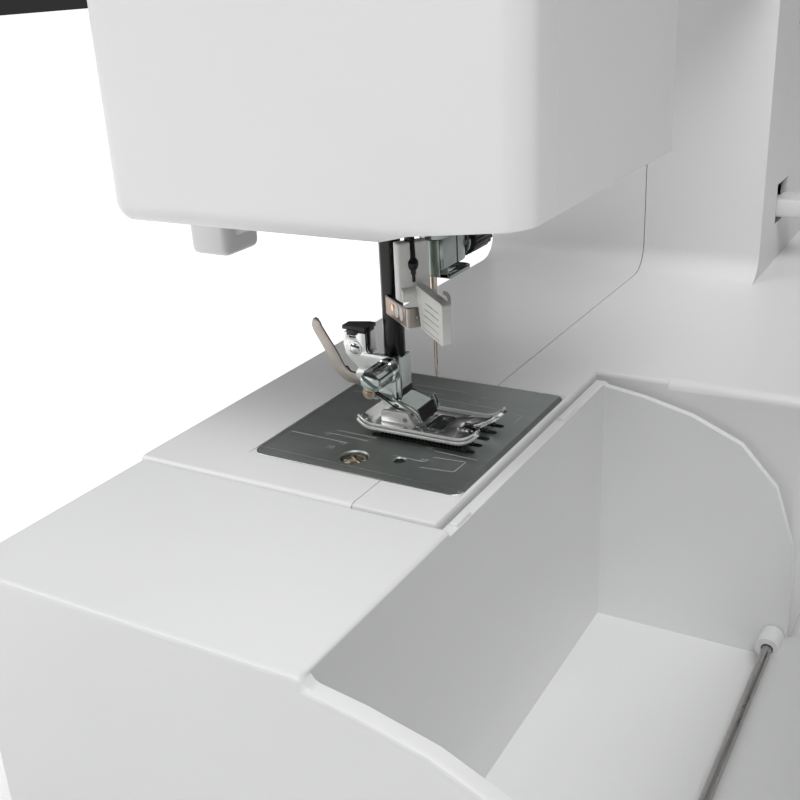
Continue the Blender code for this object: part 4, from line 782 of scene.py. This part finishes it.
def threader_carriage():
    """White carriage with a keyhole slot, its ribbed thumb tab and the collar below its clip."""
    body = box((-4.05, -2.0, 40.6), (4.55, 1.45, 56.0), 0.55)
    tab_line = [(0.4, 45.2, 0.5), (-1.4, 44.6, 1.5), (-4.0, 39.0, 2.0), (-5.4, 33.9, 0.8),
        (-19.0, 33.1, 0.8), (-19.0, 43.9, 0.8)]
    tab = bevelled(prism(filleted(tab_line, 5), "yz", 0.1, 2.5), 0.35, 3)
    shoulder = bevelled(prism(filleted([(-1.0, 44.6, 0.6), (-3.2, 44.0, 1.6), (-3.0, 40.7, 0.4),
        (0.0, 40.7, 0.0)], 4), "yz", -3.6, 1.2), 0.3, 2)
    keyhole = union(box((-0.75, -4.0, 48.0), (0.75, 0.4, 60.0)),
        rod((0, -4.0, 48.0), (0, 0.4, 48.0), 0.75, 24))
    body = cut(body, keyhole)
    ridges = [
        wire([(0.1, -6.6 - 0.6 * k, 34.6 + 1.75 * k), (0.1, -16.6, 34.0 + 1.75 * k)], 0.16,
            3) for k in range(5)
    ]
    collar = box((-2.3, -2.4, 33.0), (3.7, 3.0, 34.3), 0.3, 2)
    carriage = in_threader(together(body, tab, shoulder, collar, *ridges))
    piece("threader_carriage_moulding", carriage, "warm_white", "threader_carriage")
    # Painted shade: a black bar inside the keyhole slot stands for the shade in the slot.
    shade = box((-0.85, -0.35, 47.2), (0.85, 0.35, 56.5), 0.1, 2)
    extra("threader_slot_painted_shade", in_threader(shade), "black_moulding",
        BODY_OF_NODE["threader_carriage"])


def threader_shaft():
    top_z = node_box("threader_shaft")[1].z
    shaft = rod((0, 0, 52.0), (0, 0, top_z), 1.35, 40)
    ball = [(0, 2.2), (0.8, 2.0), (1.35, 1.2), (1.4, 0.2), (1.1, -0.8), (0.6, -1.3), (0, -1.4)]
    knob = turned([(1.08 * r, 49.8 + a) for r, a in ball], (0, -1.6, 0), (0, 0, 1), 32)
    tail = rod((0, -1.7, 45.6), (0, -1.7, 49.4), 0.55, 20)
    drop = rod((0, -1.6, 51.0), (0, -0.9, 57.0), 0.75, 24)
    shaft = in_threader(together(shaft, knob, tail, drop))
    piece("threader_shaft_black", shaft, "black_steel", "threader_shaft")


def threader_clip():
    """Folded steel clip with ovals and a brass spot on its long side, and the hook that meets the needle."""
    sheet = strip(filleted([(4.9, -0.4, 0), (4.9, -2.6, 0.7), (-2.45, -2.6, 0.7),
        (-2.45, 12.4, 0.0)], 4), 0.35)
    clip = prism(sheet, "xy", 33.6, 38.8)
    arm = bevelled(prism([(-1.2, 35.4), (9.5, 35.8), (11.2, 35.2), (11.4, 36.0), (9.6, 36.8),
        (-1.2, 38.0)], "xz", 0.9, 1.3), 0.1, 2)
    turn_about(arm, math.radians(8.0), "Z", (0, 0, 0))
    back = [(9.8, 40.9), (11.2, 39.7), (11.5, 37.1), (10.9, 36.9), (10.4, 39.1), (9.4, 40.1)]
    claw = prism(smooth(back, 3), "xz", 0.9, 1.3)
    piece("threader_hook_clip", in_threader(together(clip, arm, claw)), "warm_steel", "threader_hook")
    panel = box((-2.75, -1.9, 33.8), (-2.6, 12.2, 38.6), 0.05, 1)
    extra("threader_clip_side", in_threader(panel), "copper_steel", "threader_head")
    ovals = []
    for v, wide in ((0.9, 1.25), (4.1, 1.25)):
        disc = rod((-2.84, v, 36.5), (-2.7, v, 36.5), 1.0, 32)
        disc.data.transform(Matrix.Translation((0, v, 36.5)) @ Matrix.Diagonal((1, wide, 1.8,
            1)) @ Matrix.Translation((0, -v, -36.5)))
        ovals.append(disc)
    extra("threader_clip_ovals", in_threader(together(*ovals)), "warm_white", "threader_head")
    spot = rod((-2.88, 7.0, 36.7), (-2.7, 7.0, 36.7), 0.9, 24, 0.6)
    extra("threader_clip_spot", in_threader(spot), "brass", "threader_head")
    dimple = turned([(0, 0.08), (0.5, 0.1), (0.9, 0.2), (1.1, 0.0), (0, 0.0)], (1.0, -2.78, 36.3),
        (0, -1, 0), 28)
    extra("threader_clip_dimple", in_threader(dimple), "warm_steel", "threader_head")


# ---------------------------------------------------------------- controls and other round pieces

WHEEL_SEAT = 286.0


def handwheel():
    low, high = node_box("handwheel")
    y, z = (low.y + high.y) / 2, (low.z + high.z) / 2
    radius = (high.z - low.z) / 2
    width = high.x - WHEEL_SEAT
    profile = [(0, width), (6.0, width - 0.1), (10.0, width - 0.9), (16.0, width - 4.6),
        (21.0, width - 6.6), (25.0, width - 5.4)]
    profile += [(28.5, width - 2.2), (30.4, width - 1.4)]
    profile += [(radius - 2.4 + 2.4 * math.cos(a),
        width - 4.0 + 2.4 * math.sin(a)) for a in [math.radians(70 - 14 * k) for k in range(6)]]
    profile += [(radius, 4.0), (radius - 1.2, 1.6), (29.5, 0.6), (26.0, 1.2), (24.4, 4.0),
        (24.0, 7.0), (11.4, 7.0)]
    inner = low.x - WHEEL_SEAT
    profile += [(11.4, inner + 8.0), (27.0, inner + 8.0), (27.0, inner), (4.4, inner), (4.4, 6.0), (0, 6.0)]
    wheel = turned(profile, (WHEEL_SEAT, y, z), (1, 0, 0), 96)
    grips = []
    for k in range(24):
        a = 2 * math.pi * k / 24
        along = Vector((0.0, math.cos(a), math.sin(a)))
        start = Vector((WHEEL_SEAT + 4.4, y, z)) + along * (radius + 0.35)
        grips.append(rod(start, start + Vector((width - 10.0, 0, 0)), 0.9, 12))
    piece("handwheel_moulding", cut(wheel, together(*grips)), "white_shell", "handwheel")
    cap = turned([(0, 0.3), (7.0, 0.3), (7.6, 0.0), (7.6, -0.6), (0, -0.6)],
        (WHEEL_SEAT + width - 0.35, y, z), (1, 0, 0), 64)
    extra("handwheel_cap", cap, "grey_moulding", "main_shaft")


SCALE_START, SCALE_SWEEP = 225.0, 270.0


def control_knob(node, marks):
    """A grooved knob with a raised pointer bar, and a ring of index strokes on the casing round it."""
    low, high = node_box(node)
    x, z = (low.x + high.x) / 2, (low.z + high.z) / 2
    radius = (high.x - low.x) / 2
    grip = bevelled(prism(knurled(radius - 1.2, 0.5, 28, 6, x, z), "xz", low.y + 0.7, high.y - 1.2),
        0.4, 2, 50.0)
    skirt = turned([(0, 0), (radius, 0), (radius, 1.0), (radius - 0.6, 1.6), (0, 1.6)],
        (x, high.y, z), (0, -1, 0), 72)
    face = turned([(0, 0.0), (radius - 4.0, 0.0), (radius - 3.2, -0.5), (0, -0.5)],
        (x, low.y + 0.75, z), (0, -1, 0), 64)
    piece(node + "_knob", together(grip, skirt, face), "grey_moulding", node)
    bar = box((x - 0.7, low.y, z + radius * 0.3), (x + 0.7, low.y + 1.4, z + radius * 0.82), 0.3, 2)
    extra(node + "_pointer", bar, "warm_white", node)
    strokes = []
    for k in range(marks):
        a = math.radians(SCALE_START - SCALE_SWEEP * k / (marks - 1))
        mark = box((x - 0.25, high.y - 0.05, z + radius + 2.2),
            (x + 0.25, high.y + 0.28, z + radius + 4.4 + (k % 3 == 0) * 1.2))
        strokes.append(turn_about(mark, math.radians(90.0) - a, "Y", (x, 0, z)))
    extra(node + "_scale", together(*strokes), "grey_moulding", "root")


def tension_wheel():
    low, high = node_box("tension_dial")
    x, z = (low.x + high.x) / 2, (low.z + high.z) / 2
    radius = (high.x - low.x) / 2
    wheel = bevelled(prism(knurled(radius, 0.5, 30, 6, x, z), "xz", low.y, high.y), 0.5, 2, 50.0)
    piece("tension_dial_wheel", wheel, "grey_moulding", "tension_dial")


HANDLE_Y, HANDLE_Z, HANDLE_LEFT, HANDLE_RIGHT = 45.0, 210.0, 80.0, 190.0
SPOOL_Y, SPOOL_Z = 55.0, 214.0


def carry_handle():
    y0, z0, x0, x1 = HANDLE_Y, HANDLE_Z, HANDLE_LEFT, HANDLE_RIGHT
    corners = [(x0, y0 - 2), (x0, y0 - 26), (x0 + 1.2, y0 - 33), (x0 + 6, y0 - 37.2), (x0 + 14, y0 - 38)]
    corners += [(x1 - 14, y0 - 38), (x1 - 6, y0 - 37.2), (x1 - 1.2, y0 - 33), (x1, y0 - 26), (x1, y0 - 2)]
    grip = wire([(u, v, z0) for u, v in smooth(corners, 6, False)], 3.95, 6)
    hubs = []
    for x in (x0, x1):
        hub = bevelled(rod((x - 5, y0, z0), (x + 5, y0, z0), 4.7, 48), 0.5, 2)
        hubs.append(cut(hub, rod((x - 9, y0, z0), (x + 9, y0, z0), 2.3, 32)))
    piece("carry_handle_grip", together(grip, *hubs), "white_shell", "carry_handle")


def spool_pin():
    low, high = node_box("spool_pin")
    y, z = SPOOL_Y, SPOOL_Z
    base = box((high.x - 10.0, low.y, low.z), (high.x, high.y, high.z), 1.6)
    profile = [(0, 0.0), (1.5, 0.1), (2.2, 0.9), (2.4, 2.0), (2.4, high.x - 4.0 - low.x),
        (0, high.x - 4.0 - low.x)]
    pin = turned(profile[::-1], (low.x, y, z), (1, 0, 0), 48)
    piece("spool_pin_moulding", together(base, pin), "white_shell", "spool_pin")
    outline = [(2.5, 0.0), (8.4, 0.0), (9.4, 0.8), (9.4, 1.6), (8.0, 2.4), (3.6, 3.0), (3.2, 9.0),
        (2.5, 9.0), (2.5, 0.0)]
    cap = turned(outline, (high.x - 22.0, y, z), (-1, 0, 0), 56)
    extra("spool_cap", cap, "warm_white", "root")


def bobbin_winder():
    low, high = node_box("bobbin_winder")
    x, y = (low.x + high.x) / 2, (low.y + high.y) / 2
    top = high.z - low.z
    profile = [
        (0, 0), (3.3, 0), (3.3, 10.8), (8.6, 12.0), (9.0, 12.6), (8.8, 13.4), (2.8, 13.7), (2.6,
            15.0), (2.6, 26.0),
        (2.2, top - 1.0), (1.4, top - 0.2), (0, top),
    ]
    spindle = turned(profile[::-1], (x, y, low.z), (0, 0, 1), 56)
    fin = box((x - 2.95, y - 0.35, low.z + 14.0), (x + 2.95, y + 0.35, low.z + 25.0), 0.2, 2)
    piece("bobbin_winder_spindle", together(spindle, fin), "warm_white", "bobbin_winder")


def rubber_feet():
    for corner in ("left", "front", "right_front", "right_rear"):
        node = "rubber_foot_" + corner
        low, high = node_box(node)
        x, y = (low.x + high.x) / 2, (low.y + high.y) / 2
        tall = high.z - low.z
        profile = [(0, tall), (8.0, tall), (7.9, tall - 0.6), (7.2, 0.6), (6.6, 0.0), (4.5, 0.0),
            (4.2, 0.5), (0, 0.6)]
        piece(node + "_pad", turned(profile, (x, y, low.z), (0, 0, 1), 48), "rubber", node)


LIFTER_Y, LIFTER_Z = 14.0, 98.0


def lifter_handle():
    """Lever arm from the cam to a rounded block behind the head."""
    low, high = node_box("presser_lifter")
    block = box((low.x, 77.0, low.z), (high.x, high.y, low.z + 16.0), 2.6, 5)
    arm_line = [(16.0, 98.0, 2), (80.0, 58.5, 6), (87.5, 55.5, 3), (87.5, 46.0, 3), (76.5, 46.0, 4),
        (16.0, 85.5, 2)]
    arm = bevelled(prism(filleted(arm_line, 5), "yz", 14.6, 22.4), 0.8, 3)
    cam = []
    for k in range(17):
        phi = math.radians(60.0) * k / 16
        r = 8.0 + 7.0 * k / 16
        cam.append((LIFTER_Y + r * math.sin(phi), LIFTER_Z + r * math.cos(phi)))
    hub = prism([cam + arc(LIFTER_Y, LIFTER_Z, 8.0, -40, -270, 20)[:-1],
        arc(LIFTER_Y, LIFTER_Z, 2.8, 0, 349, 31)], "yz", 14.0, 23.0)
    piece("presser_lifter_handle", together(block, arm, hub), "white_shell", "presser_lifter")


TAKE_UP_PIVOT, TAKE_UP_EYE = (-14.0, 140.0), (-60.0, 178.0)


def take_up_lever():
    low, high = node_box("take_up_lever")
    line = smooth([TAKE_UP_PIVOT, (-26.0, 152.0), (-42.0, 163.5), (-54.0, 171.0), (-59.6, 177.0)], 6, False)
    blade = bevelled(prism(strip(line, 5.0), "yz", low.x, high.x), 0.4, 2, 50.0)
    hub = prism([arc(*TAKE_UP_PIVOT, 5.4, 0, 352, 43), arc(*TAKE_UP_PIVOT, 2.8, 0, 349, 31)], "yz",
        low.x, high.x)
    eye = prism([arc(*TAKE_UP_EYE, 3.5, 0, 350, 35), arc(*TAKE_UP_EYE, 1.5, 0, 345, 23)], "yz",
        low.x, high.x)
    blade = cut(blade, rod((low.x - 2, *TAKE_UP_PIVOT), (high.x + 2, *TAKE_UP_PIVOT), 5.0),
        rod((low.x - 2, *TAKE_UP_EYE), (high.x + 2, *TAKE_UP_EYE), 3.0))
    piece("take_up_lever_blade", together(blade, hub, eye), "chrome", "take_up_lever")


def face_cover():
    """The head's end cover, with its rounded rim and the slant under its front."""
    low, high = node_box("face_cover")
    wall, bottom = 2.5, 63.7
    cover = box((low.x, low.y, bottom), (0.0, high.y, high.z), 6.0, 10)
    slant = [(-60.0, 50.0), (-60.0, 72.0), (-46.0, 70.5), (-18.0, 67.2), (-5.0, 63.6), (-5.0, 50.0)]
    cover = cut(
        cover,
        box((high.x, -100, 0), (20, 100, 300)),
        box((low.x + wall, low.y + wall, 40.0), (10, high.y - wall, high.z - wall)),
        prism(slant, "yz", low.x - 5, 20.0),
    )
    piece("face_cover_moulding", cover, "white_shell", "face_cover")


def casing():
    """The mouldings keep their CAD shape, with rounded rims."""
    for node, material, width in (
        ("front_shell", "white_shell", 0.25), ("rear_shell", "white_shell", 0.25),
        ("extension_table", "table_shell", 0.3), ("compartment_cover", "table_shell", 0.35),
        ("shuttle_cover", "white_shell", 0.25), ("base_plate", "grey_moulding",
            0.3), ("reverse_lever", "white_shell", 0.25),
        ("power_switch", "black_moulding", 0.4), ("inlet_socket", "black_moulding",
            0.2), ("shell_screw", "steel", 0.1),
    ):
        softened(node, material, width)


def inner_works():
    """Inner pieces keep their CAD shape and get their own metals."""
    for material, nodes in {
        "cast_aluminium": ("cast_frame", "feed_carrier"),
        "steel": ("cover_hinge_rod", "upper_shaft", "needle_crank", "drive_motor", "motor_pulley",
            "lower_shaft",
                  "needle_bar_driver", "needle_bar_link", "presser_guide", "presser_spring"),
        "chrome": ("rotary_hook", "bobbin_case", "needle_bar"),
        "rubber": ("timing_belt", "motor_belt"),
        "black_moulding": ("upper_timing_pulley", "lower_timing_pulley"),
        "brass": ("needle_bar_bush",),
        "clear_moulding": ("bobbin",),
    }.items():
        for node in nodes:
            mesh = frame["nodes"][node].data
            mesh.materials.clear()
            mesh.materials.append(MATERIALS[material])
            mesh.shade_smooth()
            mesh.set_sharp_from_angle(angle=math.radians(34.0))


# ---------------------------------------------------------------- stage, light and camera

FLOOR_SIZE, FLOOR_GAP = 12.0, 0.0002
BACKDROP_START, BACKDROP_FULL, BACKDROP_GLOW = 0.05, 0.35, 0.9
SKY = ((0.0, 0.10), (0.3, 0.14), (0.65, 0.6), (1.0, 1.0))
SKY_STRENGTH = 0.32
LAMPS = (
    ("key", (-0.65, -0.4, 1.15), (-0.1, 0.0, 0.1), (0.9, 0.7), 12.0),
    ("fill", (0.55, -1.1, 0.8), (0.0, 0.0, 0.1), (0.9, 0.9), 1.2),
    ("back", (-0.5, 1.1, 1.0), (-0.05, 0.0, 0.1), (1.0, 0.7), 7.0),
)


def studio():
    bpy.ops.mesh.primitive_plane_add(size=FLOOR_SIZE, location=(0, 0, cad_bounds[0][2] - FLOOR_GAP))
    floor = bpy.context.object
    floor.name = "studio_floor"
    paper = surface("studio_paper", (0.90, 0.90, 0.90), 0.9, tint=0.004, spread=0.02, scale=2)
    tree = paper.node_tree
    shader = tree.nodes["Principled BSDF"]
    shader.inputs["Emission Color"].default_value = (1, 1, 1, 1)
    place = tree.nodes.new("ShaderNodeTexCoord")
    split = tree.nodes.new("ShaderNodeSeparateXYZ")
    glow = tree.nodes.new("ShaderNodeMapRange")
    glow.interpolation_type = "SMOOTHSTEP"
    glow.inputs["From Min"].default_value = BACKDROP_START
    glow.inputs["From Max"].default_value = BACKDROP_FULL
    glow.inputs["To Max"].default_value = BACKDROP_GLOW
    tree.links.new(place.outputs["Object"], split.inputs["Vector"])
    tree.links.new(split.outputs["Y"], glow.inputs["Value"])
    tree.links.new(glow.outputs["Result"], shader.inputs["Emission Strength"])
    floor.data.materials.append(MATERIALS["studio_paper"])

    world = bpy.data.worlds.new("studio")
    bpy.context.scene.world = world
    world.use_nodes = True
    tree = world.node_tree
    background = tree.nodes["Background"]
    place = tree.nodes.new("ShaderNodeTexCoord")
    split = tree.nodes.new("ShaderNodeSeparateXYZ")
    ramp = tree.nodes.new("ShaderNodeValToRGB")
    while len(ramp.color_ramp.elements) < len(SKY):
        ramp.color_ramp.elements.new(0.5)
    for element, (height, level) in zip(ramp.color_ramp.elements, SKY):
        element.position = height
        element.color = (level, level, level, 1)
    tree.links.new(place.outputs["Generated"], split.inputs["Vector"])
    tree.links.new(split.outputs["Z"], ramp.inputs["Fac"])
    tree.links.new(ramp.outputs["Color"], background.inputs["Color"])
    background.inputs["Strength"].default_value = SKY_STRENGTH

    for name, place, aim, size, watts in LAMPS:
        lamp = bpy.data.lights.new(name, "AREA")
        lamp.shape = "RECTANGLE"
        lamp.size, lamp.size_y = size
        lamp.energy = watts
        holder = new_object(name, lamp)
        holder.location = place
        holder.rotation_euler = (Vector(aim) - Vector(place)).to_track_quat("-Z", "Y").to_euler()


LENS, SENSOR = 48.27, 36.0
CAMERA_PLACE = Vector((-240.4, -129.6, 121.6))
CAMERA_FORWARD = Vector((0.7965, 0.4716, -0.3783))
CAMERA_UP = Vector((0.3507, 0.1493, 0.9245))


def camera():
    """Close to the needle, from the machine's left front, looking slightly down."""
    lens = bpy.data.cameras.new("view")
    lens.sensor_width = SENSOR
    lens.lens = LENS
    lens.clip_start = 0.01
    holder = new_object("view", lens)
    forward = CAMERA_FORWARD.normalized()
    right = forward.cross(CAMERA_UP).normalized()
    up = right.cross(forward)
    turn = Matrix((right, up, -forward)).transposed().to_4x4()
    holder.matrix_world = Matrix.Translation(ORIGIN + CAMERA_PLACE * MM) @ turn
    bpy.context.scene.camera = holder
    bpy.context.scene.view_settings.view_transform = "Standard"


make_materials()
camera()
studio()
casing()
face_cover()
inner_works()
needle_plate()
engraved_lines()
feed_bars()
plate_screw()
presser_foot()
foot_holder()
holder_screw()
holder_bracket()
release_lever()
presser_bar()
needle()
needle_clamp()
clamp_knob()
threader_carriage()
threader_shaft()
threader_clip()
handwheel()
control_knob("stitch_dial", 13)
control_knob("length_dial", 9)
tension_wheel()
carry_handle()
spool_pin()
bobbin_winder()
rubber_feet()
lifter_handle()
take_up_lever()

bpy.context.view_layer.update()
